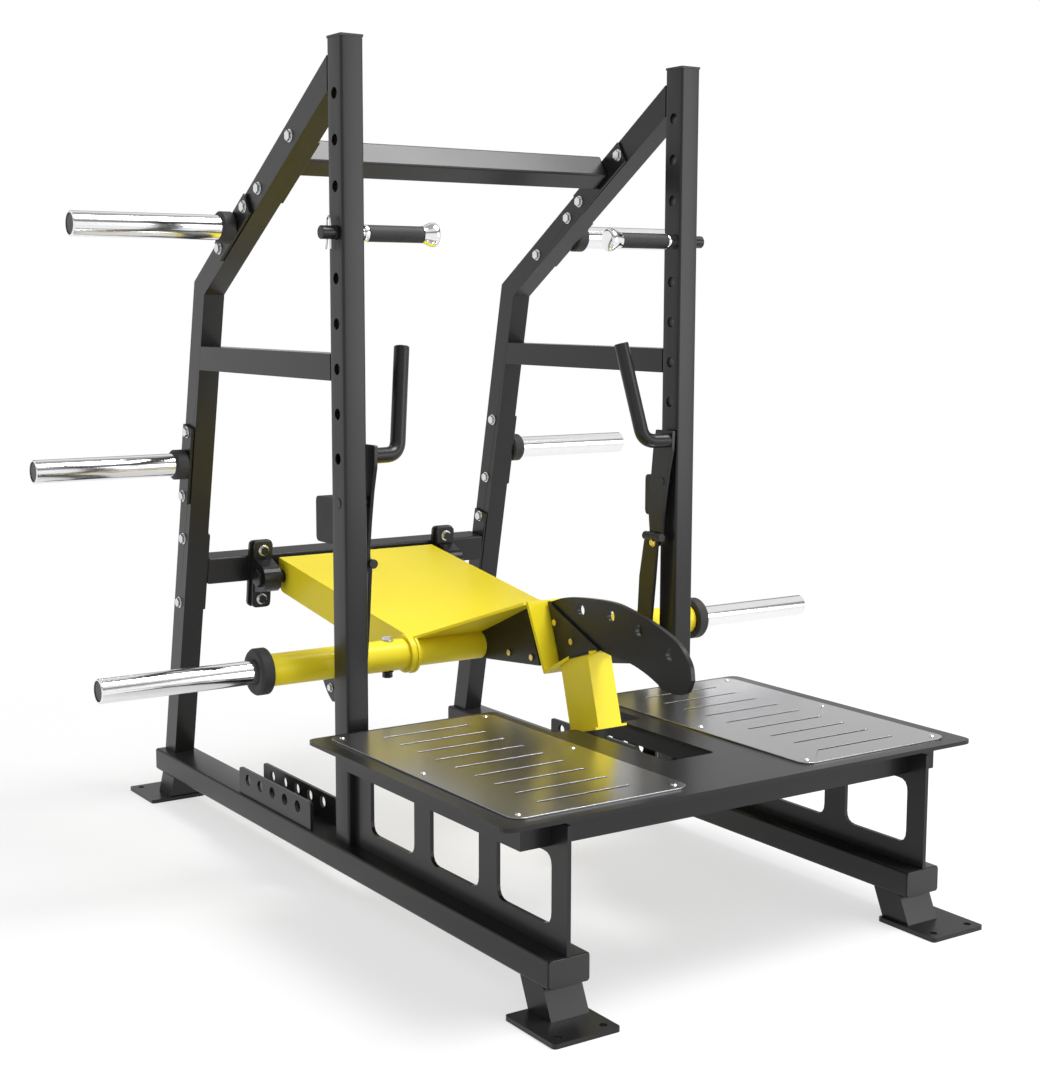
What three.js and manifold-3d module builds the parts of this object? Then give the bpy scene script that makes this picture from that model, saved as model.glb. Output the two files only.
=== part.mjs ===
// Belt squat machine: two floor rails, four uprights, a standing platform and a hinged loading arm.
// Millimetres, +Z up, the user stands on the platform at -Y, and the machine is mirrored about X = 0.
// Depths (y) are counted rearward from the front end of the rails, heights (z) from the floor.
import * as THREE from 'three';
import { mergeVertices } from 'three/addons/utils/BufferGeometryUtils.js';
import Module from 'manifold-3d';

// Clearances
const GAP = 0.3;
const RUNNING_CLEARANCE = 0.6;
const OVERRUN = 20;

// Floor rails and feet
const RAIL_LENGTH = 1720;
const RAIL_CENTRE = 426;
const RAIL_WIDTH = 87;
const RAIL_HEIGHT = 52;
const RAIL_UNDERSIDE = 64;
const RAIL_CORNER = 5;
const FOOT_WIDTH = 138;
const FOOT_THICKNESS = 9;
const FOOT_INNER_EDGE = 375.5;
const FOOT_CORNER = 8;
const FOOT_LENGTH = 150;
const FRONT_FOOT_REACH = 80.5;
const REAR_FOOT_REACH = 67;
const FOOT_STUB_WIDTH = 80;
const FOOT_STUB_DEPTH = 70;
const FOOT_STUB_LEAN = 27;
const FOOT_STUB_INSET = 4.5;
const FOOT_HOLE_DIAMETER = 15;
const FOOT_HOLE_INSET = 22;

// Uprights and braces
const TUBE_WIDTH = 50;
const TUBE_DEPTH = 58;
const TUBE_WALL = 3;
const POST_CENTRE = 421.5;
const POST_FRONT = 751;
const MACHINE_HEIGHT = 1733;
const POST_CAP_THICKNESS = 5;
const POST_CAP_PLUG = 18;
const HOLE_COUNT = 10;
const HOLE_PITCH = 89.3;
const LOWEST_HOLE = 818;
const HOLE_DIAMETER = 23;
const REAR_LEG_SETBACK = 39;
const REAR_LEG_LEAN_DEGREES = 11.75;
const REAR_BEND_HEIGHT = 1249;
const ROOF_SLOPE_DEGREES = 33;
const BRACE_BOTTOM = 1062;
const BRACE_HEIGHT = 54;

// Cross-members and their bolts
const END_PLATE_THICKNESS = 6;
const END_PLATE_WIDTH = 54;
const TOP_MEMBER_DEPTH = 1050;
const TOP_MEMBER_RAISE = 13;
const TOP_MEMBER_SIZE = 56;
const TOP_PLATE_LENGTH = 208;
const REAR_MEMBER_HEIGHT = 578.5;
const REAR_MEMBER_TALL = 65;
const REAR_MEMBER_DEEP = 60;
const REAR_MEMBER_LEAN_DEGREES = 7.6;
const REAR_PLATE_LENGTH = 190;
const BOLT_DIAMETER = 12;
const BOLT_HEAD_WIDTH = 22;
const BOLT_HEAD_THICKNESS = 8;
const BOLT_EDGE = 14;

// Storage horns
const HORN_TIP = 818;
const HORN_DIAMETER = 54;
const HORN_PLATE_LENGTH = 184;
const HORN_PLATE_WIDTH = 50;
const HORN_PLATE_THICKNESS = 8;
const HORN_COLLAR_LENGTH = 32;
const HORN_COLLAR_WALL = 8;
const MIDDLE_HORN_SPACING = 260.5;
const UPPER_HORN_DEPTH = 1247;

// Plates for elastic bands on the rails
const BAND_PLATE_START = 890;
const BAND_PLATE_LENGTH = 350;
const BAND_PLATE_HEIGHT = 60;
const BAND_PLATE_THICKNESS = 7;
const BAND_PLATE_CORNER = 8;
const BAND_PLATE_INNER_FACE = 396;
const BAND_PLATE_OUTER_FACE = 463;
const BAND_HOLE_COUNT = 5;
const BAND_HOLE_PITCH = 61.25;
const BAND_HOLE_DIAMETER = 26;
const BAND_HOLE_START = 60;
const BAND_HOLE_HEIGHT = 38;

// Platform
const DECK_TOP = 360;
const DECK_THICKNESS = 8;
const DECK_HALF_WIDTH = 555;
const DECK_DEPTH = 722;
const DECK_CORNER = 22;
const SLOT_HALF_WIDTH = 58;
const SLOT_START = 200;
const SLOT_CORNER = 12;
const NOTCH_HALF_WIDTH = 112;
const NOTCH_START = 500;
const TREAD_THICKNESS = 3;
const TREAD_INNER_EDGE = 138;
const TREAD_OUTER_EDGE = 518;
const TREAD_FRONT = 33;
const TREAD_REAR = 703;
const TREAD_CORNER = 26;
const TREAD_SLOT_COUNT = 9;
const TREAD_SLOT_PITCH = 67.6;
const TREAD_SLOT_LENGTH = 200;
const TREAD_SLOT_WIDTH = 7;
const BEAM_FRONT = 48;
const BEAM_REAR = 700;
const BEAM_WIDTH = 50;
const BEAM_HEIGHT = 52;
const BEAM_OUTER_EDGE = 496;
const SIDE_BEAM_INNER_EDGE = 432.3;
const SLOT_BEAM_WIDTH = 40;
const SUPPORT_THICKNESS = 8;
const SUPPORT_TAB_HEIGHT = 46;
const SUPPORT_WINDOW_COUNT = 3;
const SUPPORT_WINDOW_LENGTH = 172;
const SUPPORT_WINDOW_PITCH = 232;
const SUPPORT_WINDOW_START = 47;
const SUPPORT_WINDOW_SILL = 41;
const SUPPORT_WINDOW_HEAD = 13;
const SUPPORT_WINDOW_CORNER = 24;

// Arm bearing
const PIVOT_DIAMETER = 30;
const PIVOT_DROP = 11.7;
const BEARING_INNER_EDGE = 229;
const BEARING_WIDTH = 59;
const BEARING_PLATE_THICKNESS = 9;
const BEARING_PLATE_HEIGHT = 165;
const BEARING_PLATE_CORNER = 12;
const BEARING_FOOT_WIDTH = 48;
const BEARING_FOOT_THICKNESS = 15;
const BEARING_AXIS_HEIGHT = 42.8;
const BEARING_BOSS_DIAMETER = 68;
const BEARING_BOSS_WIDTH = 43;
const BEARING_WEB_SPREAD = 12;
const BEARING_BOLT_SPACING = 122;
const PIVOT_NUT_THICKNESS = 9;
const PIVOT_NUT_DIAMETER = 44;

// Loading arm
const CROSS_TUBE_DEPTH = 898.5;
const CROSS_TUBE_HEIGHT = 467.6;
const CROSS_TUBE_DIAMETER = 60;
const ARM_HALF_WIDTH = 217;
const ARM_PLATE = 6;
const ARM_SIDE_DEPTH = 80;
const ARM_TAIL = 21;
const ARM_SIDE_CORNER = 26;
const NOSE_ROOT_HALF_WIDTH = 213;
const NOSE_TIP_DEPTH = 682;
const NOSE_TIP_HEIGHT = 594.8;
const NOSE_TIP_HALF_WIDTH = 65;
const STRIP_FOOT_DEPTH = 636;
const STRIP_FOOT_HEIGHT = 454;
const STRIP_FOOT_HALF_WIDTH = 46;
const SADDLE_BEND_DEPTH = 557;
const SADDLE_BEND_HEIGHT = 499;
const SADDLE_BEND_HALF_WIDTH = 36;
const SADDLE_TIP_DEPTH = 496;
const SADDLE_TIP_HEIGHT = 519;
const DROP_TUBE_WIDTH = 58;
const DROP_TUBE_DEPTH = 101;
const DROP_TUBE_REAR_FOOT = 559;
const DROP_TUBE_REAR_FOOT_HEIGHT = 341;
const DROP_TUBE_LEAN_DEGREES = 15.6;
const DROP_TUBE_LENGTH = 220;
const DROP_LIP_HALF_WIDTH = 39;
const DROP_LIP_THICKNESS = 5;
const DROP_LIP_EDGE = 4;
const BUMPER_HEIGHT = 30;
const BUMPER_TOP_DIAMETER = 46;
const BUMPER_FOOT_DIAMETER = 36;

// Sleeves on the arm
const SLEEVE_DIAMETER = 67.4;
const SLEEVE_TIP = 555.5;
const SLEEVE_FLANGE_DIAMETER = 82;
const SLEEVE_FLANGE_THICKNESS = 14;
const LOAD_SLEEVE_DIAMETER = 50;
const LOAD_SLEEVE_ROOT = 240;
const LOAD_SLEEVE_TIP = 914;
const LOAD_COLLAR_DIAMETER = 97;
const LOAD_COLLAR_LENGTH = 29;
const LOAD_COLLAR_RIM = 4;

// Belt fin and the plates that carry it
const FIN_THICKNESS = 10;
const FIN_FRONT = 199;
const FIN_LENGTH = 476;
const FIN_FOOT = 473;
const FIN_HEIGHT = 150;
const FIN_HOLE_DIAMETER = 24;
const GUSSET_THICKNESS = 6;
const BRACKET_OFFSET = 33;
const BRACKET_THICKNESS = 6;
const BRACKET_FRONT = 663;
const BRACKET_FRONT_HEIGHT = 460;
const BRACKET_TOP_DEPTH = 722;
const SMALL_BOLT_DIAMETER = 8;
const SMALL_HEAD_WIDTH = 15;
const SMALL_HEAD_THICKNESS = 5;

// Release levers with the hooks that hold the arm up
const LEVER_PLATE_FACE = 384;
const LEVER_PLATE = 8;
const HOOK_PLATE = 8;
const LEVER_PIN_DIAMETER = 22;
const LEVER_PIN_HEAD = 30;
const LEVER_PIN_HEAD_THICKNESS = 6;
const LEVER_WIDTH = 92;
const LEVER_TOP = 116;
const LEVER_BARREL_DIAMETER = 20;
const LEVER_BARREL_DROP = 128;
const LEVER_BARREL_FRONT = 10;
const LEVER_BARREL_REAR = 52;
const HOOK_CLEARANCE = 2;
const HOOK_THROAT = 50.6;
const HOOK_TIP_REACH = 84.5;
const HOOK_HEEL_RADIUS = 111;
const HANDLE_DIAMETER = 32;
const HANDLE_HEIGHT = 217;
const HANDLE_RISE = 94;
const HANDLE_CORNER_OFFSET = 316;
const HANDLE_TIP_OFFSET = 281;
const HANDLE_TIP_SETBACK = 51;
const HANDLE_ROOT_SETBACK = 21;
const HANDLE_BEND = 28;
const STOP_BLOCK_DEPTH = 76;
const STOP_BLOCK_BOTTOM = 731;
const STOP_BLOCK_HEIGHT = 94;
const STOP_BLOCK_INNER_EDGE = 412;
const STOP_BLOCK_WIDTH = 31;
const STOP_BLOCK_CORNER = 12;

// Hand grips
const GRIP_HOLE = 6;
const GRIP_END = 217;
const GRIP_FLARE_LENGTH = 33;
const GRIP_FLARE_DIAMETER = 50;
const GRIP_DIAMETER = 33;
const GRIP_SLEEVE_END = 377;
const GRIP_END_WALL = 8;
const GRIP_COLLAR_DIAMETER = 34;
const GRIP_COLLAR_LENGTH = 9;
const GRIP_NECK_DIAMETER = 26;
const GRIP_CORE_DIAMETER = 20;
const GRIP_SHANK_DIAMETER = 21;
const GRIP_SHANK_END = 480;
const GRIP_WASHER_DIAMETER = 29;
const GRIP_WASHER_THICKNESS = 4;
const CLIP_WIRE_DIAMETER = 4;
const CLIP_OFFSET = 457;
const CLIP_DROP = 32;
const CLIP_RISE = 20;
const CLIP_SPREAD = 16;
const CLIP_FLARE = 5;

// Counts of flats and steps
const ROUND_SIDES = 24;
const HOLE_SIDES = 12;
const PIN_SIDES = 24;
const BOLT_SIDES = 12;
const HEX_SIDES = 6;
const CORNER_STEPS = 4;
const FIN_STEPS = 3;
const ARC_STEPS = 10;
const HANDLE_STEPS = 14;
const HANDLE_SIDES = 10;
const CLIP_STEPS = 14;
const CLIP_SIDES = 6;

// Finishes
const BLACK = { color: 0x17181a, roughness: 0.32, metalness: 0.25 };
const YELLOW = { color: 0xf0dc32, roughness: 0.35, metalness: 0.1 };
const CHROME = { color: 0xd6d9dd, roughness: 0.12, metalness: 1 };
const STAINLESS = { color: 0xb4b5b6, roughness: 0.34, metalness: 0.95 };
const RUBBER = { color: 0x1b1b1c, roughness: 0.82, metalness: 0 };
const PLASTIC = { color: 0x202123, roughness: 0.55, metalness: 0 };
const ZINC = { color: 0x9a9da0, roughness: 0.38, metalness: 0.9 };

// Derived faces
const RAIL_TOP = RAIL_UNDERSIDE + RAIL_HEIGHT;
const POST_INNER = POST_CENTRE - TUBE_WIDTH / 2;
const POST_OUTER = POST_CENTRE + TUBE_WIDTH / 2;
const POST_REAR = POST_FRONT + TUBE_DEPTH;
const HOLE_DEPTH = POST_FRONT + TUBE_DEPTH / 2;
const DECK_UNDERSIDE = DECK_TOP - DECK_THICKNESS;
const BEAM_BOTTOM = DECK_UNDERSIDE - GAP - BEAM_HEIGHT;
const CROSS_TUBE_RADIUS = CROSS_TUBE_DIAMETER / 2;

const radians = THREE.MathUtils.degToRad;
const SIDES = [[-1, 'l'], [1, 'r']];
const point = (a, b) => new THREE.Vector2(a, b);
const axisX = new THREE.Vector3(1, 0, 0);
const axisY = new THREE.Vector3(0, 1, 0);
const axisZ = new THREE.Vector3(0, 0, 1);

const wasm = await Module();
wasm.setup();

const machine = new THREE.Group();

// A closed geometry as a solid that can be cut and joined.
function solid(geometry) {
  geometry.deleteAttribute('normal');
  geometry.deleteAttribute('uv');
  const merged = mergeVertices(geometry);
  const corners = merged.index.array;
  const triangles = [];
  for (let i = 0; i < corners.length; i += 3) {
    const [a, b, c] = corners.slice(i, i + 3);
    if (a !== b && b !== c && c !== a) triangles.push(a, b, c);
  }
  const vertProperties = new Float32Array(merged.attributes.position.array);
  const triVerts = new Uint32Array(triangles);
  return new wasm.Manifold(new wasm.Mesh({ numProp: 3, vertProperties, triVerts }));
}

// One named piece of the machine, in its own material.
function add(name, finish, solids) {
  const { vertProperties, triVerts } = solids.reduce((sum, next) => sum.add(next)).getMesh();
  const geometry = new THREE.BufferGeometry();
  geometry.setAttribute('position', new THREE.BufferAttribute(vertProperties, 3));
  geometry.setIndex(new THREE.BufferAttribute(triVerts, 1));
  geometry.computeVertexNormals();
  const mesh = new THREE.Mesh(geometry, new THREE.MeshStandardMaterial(finish));
  mesh.name = name;
  machine.add(mesh);
}

function block(x0, x1, y0, y1, z0, z1) {
  const geometry = new THREE.BoxGeometry(Math.abs(x1 - x0), Math.abs(y1 - y0), Math.abs(z1 - z0));
  geometry.translate((x0 + x1) / 2, (y0 + y1) / 2, (z0 + z1) / 2);
  return solid(geometry);
}

// The largest of the pieces that a cut leaves.
function largest(pieces) {
  return pieces.decompose().sort((a, b) => b.volume() - a.volume())[0];
}

// An outline through corner points, each rounded by its own radius.
function outline(points, radii = 0) {
  const shape = new THREE.Shape();
  points.forEach((corner, i) => {
    const radius = Array.isArray(radii) ? radii[i] ?? 0 : radii;
    const back = points.at(i - 1).clone().sub(corner).normalize();
    const on = points[(i + 1) % points.length].clone().sub(corner).normalize();
    const reach = radius / Math.tan(Math.acos(back.dot(on)) / 2);
    const start = corner.clone().addScaledVector(back, reach);
    const end = corner.clone().addScaledVector(on, reach);
    if (i === 0) shape.moveTo(start.x, start.y);
    else shape.lineTo(start.x, start.y);
    if (radius > 0) shape.quadraticCurveTo(corner.x, corner.y, end.x, end.y);
  });
  return shape;
}

const rectangle = (a0, a1, b0, b1) => [point(a0, b0), point(a1, b0), point(a1, b1), point(a0, b1)];

// The four corners of a bar about a centre, long way along a direction.
function bar(centre, direction, length, width) {
  const across = point(-direction.y, direction.x);
  return [[-1, -1], [1, -1], [1, 1], [-1, 1]].map(([u, v]) => centre.clone()
    .addScaledVector(direction, u * length / 2)
    .addScaledVector(across, v * width / 2));
}

// The place at a distance and an angle from a centre, with angles counted from the rear.
function around(centre, radius, turn) {
  return point(centre.x + radius * Math.cos(turn), centre.y + radius * Math.sin(turn));
}

function roundHole(centre, radius, sides) {
  const rim = [];
  for (let i = 0; i < sides; i += 1) {
    rim.push(around(centre, radius, (i + 0.5) * 2 * Math.PI / sides));
  }
  return new THREE.Path(rim);
}

function arcPoints(centre, radius, from, to) {
  const points = [];
  for (let i = 0; i <= ARC_STEPS; i += 1) {
    points.push(around(centre, radius, from + (to - from) * i / ARC_STEPS));
  }
  return points;
}

// A flat shape drawn on the axes u and v at an origin, and raised square to them.
function raise(shape, depth, origin, u, v) {
  const settings = { depth, bevelEnabled: false, curveSegments: CORNER_STEPS };
  const geometry = new THREE.ExtrudeGeometry(shape, settings);
  const basis = new THREE.Matrix4().makeBasis(u, v, new THREE.Vector3().crossVectors(u, v));
  geometry.applyMatrix4(basis.setPosition(origin));
  return solid(geometry);
}

// A shape drawn in depth and height, between two places across the machine.
function acrossX(shape, x0, x1) {
  const start = new THREE.Vector3(Math.min(x0, x1), 0, 0);
  return raise(shape, Math.abs(x1 - x0), start, axisY, axisZ);
}

// A shape drawn from above, between two heights.
const upZ = (shape, z0, z1) => raise(shape, z1 - z0, new THREE.Vector3(0, 0, z0), axisX, axisY);

// A shape drawn from the front, between two depths.
function alongY(shape, y0, y1) {
  return raise(shape, y1 - y0, new THREE.Vector3(0, y1, 0), axisX, axisZ);
}

function rodX(diameter, x0, x1, centre, sides = ROUND_SIDES) {
  const geometry = new THREE.CylinderGeometry(diameter / 2, diameter / 2, Math.abs(x1 - x0), sides);
  geometry.rotateZ(Math.PI / 2);
  geometry.translate((x0 + x1) / 2, centre.x, centre.y);
  return solid(geometry);
}

function rodZ(diameter, z0, z1, x, y, sides = HOLE_SIDES) {
  const geometry = new THREE.CylinderGeometry(diameter / 2, diameter / 2, z1 - z0, sides);
  geometry.rotateX(Math.PI / 2);
  geometry.translate(x, y, (z0 + z1) / 2);
  return solid(geometry);
}

function rodY(diameter, y0, y1, x, z, sides = BOLT_SIDES) {
  const geometry = new THREE.CylinderGeometry(diameter / 2, diameter / 2, y1 - y0, sides);
  geometry.translate(x, (y0 + y1) / 2, z);
  return solid(geometry);
}

// A turned piece about a line across the machine: pairs of distance from the middle and radius.
function turned(profile, side, centre, sides = ROUND_SIDES) {
  const points = [...profile, profile[0]].map(([distance, radius]) => point(radius, distance));
  const geometry = new THREE.LatheGeometry(points, sides);
  geometry.rotateZ(-side * Math.PI / 2);
  geometry.translate(0, centre.x, centre.y);
  return solid(geometry);
}

// A sheet along a line of points, with its own thickness above and below the line.
function sheet(line, above, below) {
  const offset = (distance) => line.map((here, i) => {
    const before = line[Math.max(i - 1, 0)];
    const after = line[Math.min(i + 1, line.length - 1)];
    const run = after.clone().sub(before).normalize();
    const leg = line[i === 0 ? 1 : i].clone().sub(line[i === 0 ? 0 : i - 1]).normalize();
    const normal = point(-run.y, run.x);
    return here.clone().addScaledVector(normal, distance / normal.dot(point(-leg.y, leg.x)));
  });
  return [...offset(above), ...offset(-below).reverse()];
}

// A place given by its shares of a size, from an origin.
function placed(origin, size, [across, up]) {
  return point(origin.x + across * size.x, origin.y + up * size.y);
}

// Centre lines of the rear upright: a leaning leg and a sloping roof tube.
const leaning = (degrees) => point(-Math.sin(radians(degrees)), Math.cos(radians(degrees)));
const legDirection = leaning(REAR_LEG_LEAN_DEGREES);
const roofDirection = point(-Math.cos(radians(ROOF_SLOPE_DEGREES)), Math.sin(radians(ROOF_SLOPE_DEGREES)));

function legAt(height) {
  const depth = RAIL_LENGTH - REAR_LEG_SETBACK + (height - RAIL_TOP) * legDirection.x / legDirection.y;
  return point(depth, height);
}

const roofBend = legAt(REAR_BEND_HEIGHT);

function roofAt(depth) {
  return point(depth, roofBend.y + (depth - roofBend.x) * roofDirection.y / roofDirection.x);
}

// The bolts that clamp the cross-members and the horns to the rear uprights, as centres in depth and height.
const pairAlong = (centre, direction, length) => [-1, 1].map((end) => centre.clone()
  .addScaledVector(direction, end * (length / 2 - BOLT_EDGE)));
const topMember = roofAt(TOP_MEMBER_DEPTH);
const rearMember = legAt(REAR_MEMBER_HEIGHT);
const memberUp = leaning(REAR_MEMBER_LEAN_DEGREES);
const memberFront = point(-memberUp.y, memberUp.x);
const upperHorn = roofAt(UPPER_HORN_DEPTH);
const middleHorn = legAt(REAR_MEMBER_HEIGHT + MIDDLE_HORN_SPACING);
const memberBolts = [
  ...pairAlong(topMember, roofDirection, TOP_PLATE_LENGTH),
  ...pairAlong(rearMember, legDirection, REAR_PLATE_LENGTH),
];
const hornBolts = [
  ...pairAlong(upperHorn, roofDirection, HORN_PLATE_LENGTH),
  ...pairAlong(middleHorn, legDirection, HORN_PLATE_LENGTH),
];
const BOLT_HOLE = BOLT_DIAMETER + 2 * RUNNING_CLEARANCE;

function boltHole(side, from, to, centre) {
  return rodX(BOLT_HOLE, side * (from - OVERRUN), side * (to + OVERRUN), centre, BOLT_SIDES);
}

// A bolt across the machine with a hexagon head outside each of the two faces that it clamps.
function boltX(side, inner, outer, centre) {
  return rodX(BOLT_DIAMETER, side * inner, side * outer, centre, BOLT_SIDES)
    .add(rodX(BOLT_HEAD_WIDTH, side * (inner - BOLT_HEAD_THICKNESS), side * inner, centre, HEX_SIDES))
    .add(rodX(BOLT_HEAD_WIDTH, side * outer, side * (outer + BOLT_HEAD_THICKNESS), centre, HEX_SIDES));
}

function addRails() {
  const profile = rectangle(-RAIL_WIDTH / 2, RAIL_WIDTH / 2, RAIL_UNDERSIDE, RAIL_TOP);
  for (const [side, tag] of SIDES) {
    const corners = profile.map((corner) => point(corner.x + side * RAIL_CENTRE, corner.y));
    const shape = outline(corners, RAIL_CORNER);
    add(`base_rail_${tag}`, BLACK, [alongY(shape, 0, RAIL_LENGTH)]);
  }
}

// A floor plate with two bolt holes on a leaning stub; outward is -1 at the front and 1 at the rear.
function foot(side, outward, tipDepth) {
  const inner = side * FOOT_INNER_EDGE;
  const outer = side * (FOOT_INNER_EDGE + FOOT_WIDTH);
  const heel = tipDepth - outward * FOOT_LENGTH;
  const plate = outline(rectangle(inner, outer, heel, tipDepth), FOOT_CORNER);
  for (const x of [inner + side * FOOT_HOLE_INSET, outer - side * FOOT_HOLE_INSET]) {
    const centre = point(x, tipDepth - outward * FOOT_HOLE_INSET);
    plate.holes.push(roundHole(centre, FOOT_HOLE_DIAMETER / 2, HOLE_SIDES));
  }
  const stubFoot = heel + outward * FOOT_STUB_INSET;
  const stubTop = stubFoot - outward * FOOT_STUB_LEAN;
  const stub = outline([
    point(stubTop, RAIL_UNDERSIDE - GAP),
    point(stubTop + outward * FOOT_STUB_DEPTH, RAIL_UNDERSIDE - GAP),
    point(stubFoot + outward * FOOT_STUB_DEPTH, FOOT_THICKNESS / 2),
    point(stubFoot, FOOT_THICKNESS / 2),
  ]);
  const middle = side * RAIL_CENTRE;
  return upZ(plate, 0, FOOT_THICKNESS)
    .add(acrossX(stub, middle - FOOT_STUB_WIDTH / 2, middle + FOOT_STUB_WIDTH / 2));
}

function addFeet() {
  for (const [side, tag] of SIDES) {
    add(`front_foot_${tag}`, BLACK, [foot(side, -1, -FRONT_FOOT_REACH)]);
    add(`rear_foot_${tag}`, BLACK, [foot(side, 1, RAIL_LENGTH + REAR_FOOT_REACH)]);
  }
}

// A hollow upright with a row of holes through both side walls.
function addFrontUprights() {
  const top = MACHINE_HEIGHT - POST_CAP_THICKNESS - GAP;
  for (const [side, tag] of SIDES) {
    const inner = side * POST_INNER;
    const outer = side * POST_OUTER;
    const wall = side * TUBE_WALL;
    let tube = block(inner, outer, POST_FRONT, POST_REAR, RAIL_TOP + GAP, top);
    tube = tube.subtract(block(inner + wall, outer - wall, POST_FRONT + TUBE_WALL, POST_REAR - TUBE_WALL,
      RAIL_TOP - OVERRUN, top + OVERRUN));
    for (let i = 0; i < HOLE_COUNT; i += 1) {
      const centre = point(HOLE_DEPTH, LOWEST_HOLE + i * HOLE_PITCH);
      const start = inner - side * OVERRUN;
      tube = tube.subtract(rodX(HOLE_DIAMETER, start, outer + side * OVERRUN, centre, HOLE_SIDES));
    }
    add(`front_upright_${tag}`, BLACK, [tube]);
    const plug = side * (TUBE_WALL + GAP);
    add(`post_cap_${tag}`, PLASTIC, [block(inner, outer, POST_FRONT, POST_REAR, top + GAP, MACHINE_HEIGHT)
      .add(block(inner + plug, outer - plug, POST_FRONT + TUBE_WALL + GAP, POST_REAR - TUBE_WALL - GAP,
        top - POST_CAP_PLUG, top + POST_CAP_THICKNESS / 2))]);
  }
}

// The bent rear upright as an outline, widened by a clearance on each edge.
function rearUprightOutline(clearance) {
  const line = [legAt(RAIL_TOP - OVERRUN), roofBend, roofAt(POST_REAR - OVERRUN)];
  return outline(sheet(line, TUBE_DEPTH / 2 + clearance, TUBE_DEPTH / 2 + clearance));
}

function addRearUprights() {
  for (const [side, tag] of SIDES) {
    const inner = side * POST_INNER;
    const outer = side * POST_OUTER;
    const room = block(inner, outer, POST_REAR + GAP, RAIL_LENGTH, RAIL_TOP + GAP, MACHINE_HEIGHT);
    let tube = acrossX(rearUprightOutline(0), inner, outer).intersect(room);
    for (const centre of [...memberBolts, ...hornBolts]) {
      tube = tube.subtract(boltHole(side, POST_INNER, POST_OUTER, centre));
    }
    add(`rear_upright_${tag}`, BLACK, [tube]);
    const braceTop = BRACE_BOTTOM + BRACE_HEIGHT;
    const brace = block(inner, outer, POST_REAR + GAP, roofBend.x + TUBE_DEPTH, BRACE_BOTTOM, braceTop);
    const behind = acrossX(rearUprightOutline(GAP), inner - side * OVERRUN, outer + side * OVERRUN);
    add(`side_brace_${tag}`, BLACK, [largest(brace.subtract(behind))]);
  }
}

// A square tube with an end plate at each rear upright, and the bolts that hold the plates.
function crossMember(tubeCorners, centre, direction, plateLength) {
  const face = POST_INNER - GAP;
  let member = acrossX(outline(tubeCorners), -face + END_PLATE_THICKNESS / 2, face - END_PLATE_THICKNESS / 2);
  const plate = outline(bar(centre, direction, plateLength, END_PLATE_WIDTH));
  for (const side of [-1, 1]) {
    member = member.add(acrossX(plate, side * face, side * (face - END_PLATE_THICKNESS)));
    for (const bolt of pairAlong(centre, direction, plateLength)) {
      member = member.add(boltX(side, face - END_PLATE_THICKNESS, POST_OUTER + GAP, bolt));
    }
  }
  return member;
}

function addCrossMembers() {
  const topTube = topMember.clone().add(point(0, TOP_MEMBER_RAISE));
  const topCorners = bar(topTube, roofDirection, TOP_MEMBER_SIZE, TOP_MEMBER_SIZE);
  add('top_crossmember', BLACK, [crossMember(topCorners, topMember, roofDirection, TOP_PLATE_LENGTH)]);
  const rearCorners = bar(rearMember, memberUp, REAR_MEMBER_TALL, REAR_MEMBER_DEEP);
  add('rear_crossmember', BLACK, [crossMember(rearCorners, rearMember, legDirection, REAR_PLATE_LENGTH)]);
}

// Chromed horns for spare plates, each in the collar of a bolted bracket.
function addHorns() {
  const plateInner = POST_OUTER + GAP;
  const plateOuter = plateInner + HORN_PLATE_THICKNESS;
  const stations = [['upper', upperHorn, roofDirection], ['middle', middleHorn, legDirection]];
  const collar = HORN_DIAMETER + 2 * HORN_COLLAR_WALL;
  for (const [side, tag] of SIDES) {
    for (const [level, centre, direction] of stations) {
      const plate = outline(bar(centre, direction, HORN_PLATE_LENGTH, HORN_PLATE_WIDTH));
      let bracket = acrossX(plate, side * plateInner, side * plateOuter);
      for (const bolt of pairAlong(centre, direction, HORN_PLATE_LENGTH)) {
        bracket = bracket.add(boltX(side, POST_INNER - GAP, plateOuter, bolt));
      }
      bracket = bracket
        .add(rodX(collar, side * (plateInner + GAP), side * (plateOuter + HORN_COLLAR_LENGTH), centre))
        .subtract(rodX(HORN_DIAMETER + 2 * GAP, side * plateOuter, side * HORN_TIP, centre));
      add(`${level}_horn_bracket_${tag}`, BLACK, [bracket]);
      const horn = rodX(HORN_DIAMETER, side * (plateOuter + GAP), side * HORN_TIP, centre);
      add(`${level}_horn_${tag}`, CHROME, [horn]);
    }
  }
}

function addBandPlates() {
  const bottom = RAIL_TOP + GAP;
  const top = RAIL_TOP + BAND_PLATE_HEIGHT;
  const shape = outline(rectangle(BAND_PLATE_START, BAND_PLATE_START + BAND_PLATE_LENGTH, bottom, top),
    [0, 0, BAND_PLATE_CORNER, BAND_PLATE_CORNER]);
  for (let i = 0; i < BAND_HOLE_COUNT; i += 1) {
    const depth = BAND_PLATE_START + BAND_HOLE_START + i * BAND_HOLE_PITCH;
    const centre = point(depth, RAIL_TOP + BAND_HOLE_HEIGHT);
    shape.holes.push(roundHole(centre, BAND_HOLE_DIAMETER / 2, HOLE_SIDES));
  }
  const innerFace = BAND_PLATE_INNER_FACE + BAND_PLATE_THICKNESS;
  for (const [side, tag] of SIDES) {
    for (const [place, face] of [['outer', BAND_PLATE_OUTER_FACE], ['inner', innerFace]]) {
      const plate = acrossX(shape, side * face, side * (face - BAND_PLATE_THICKNESS));
      add(`band_plate_${place}_${tag}`, BLACK, [plate]);
    }
  }
}

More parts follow.
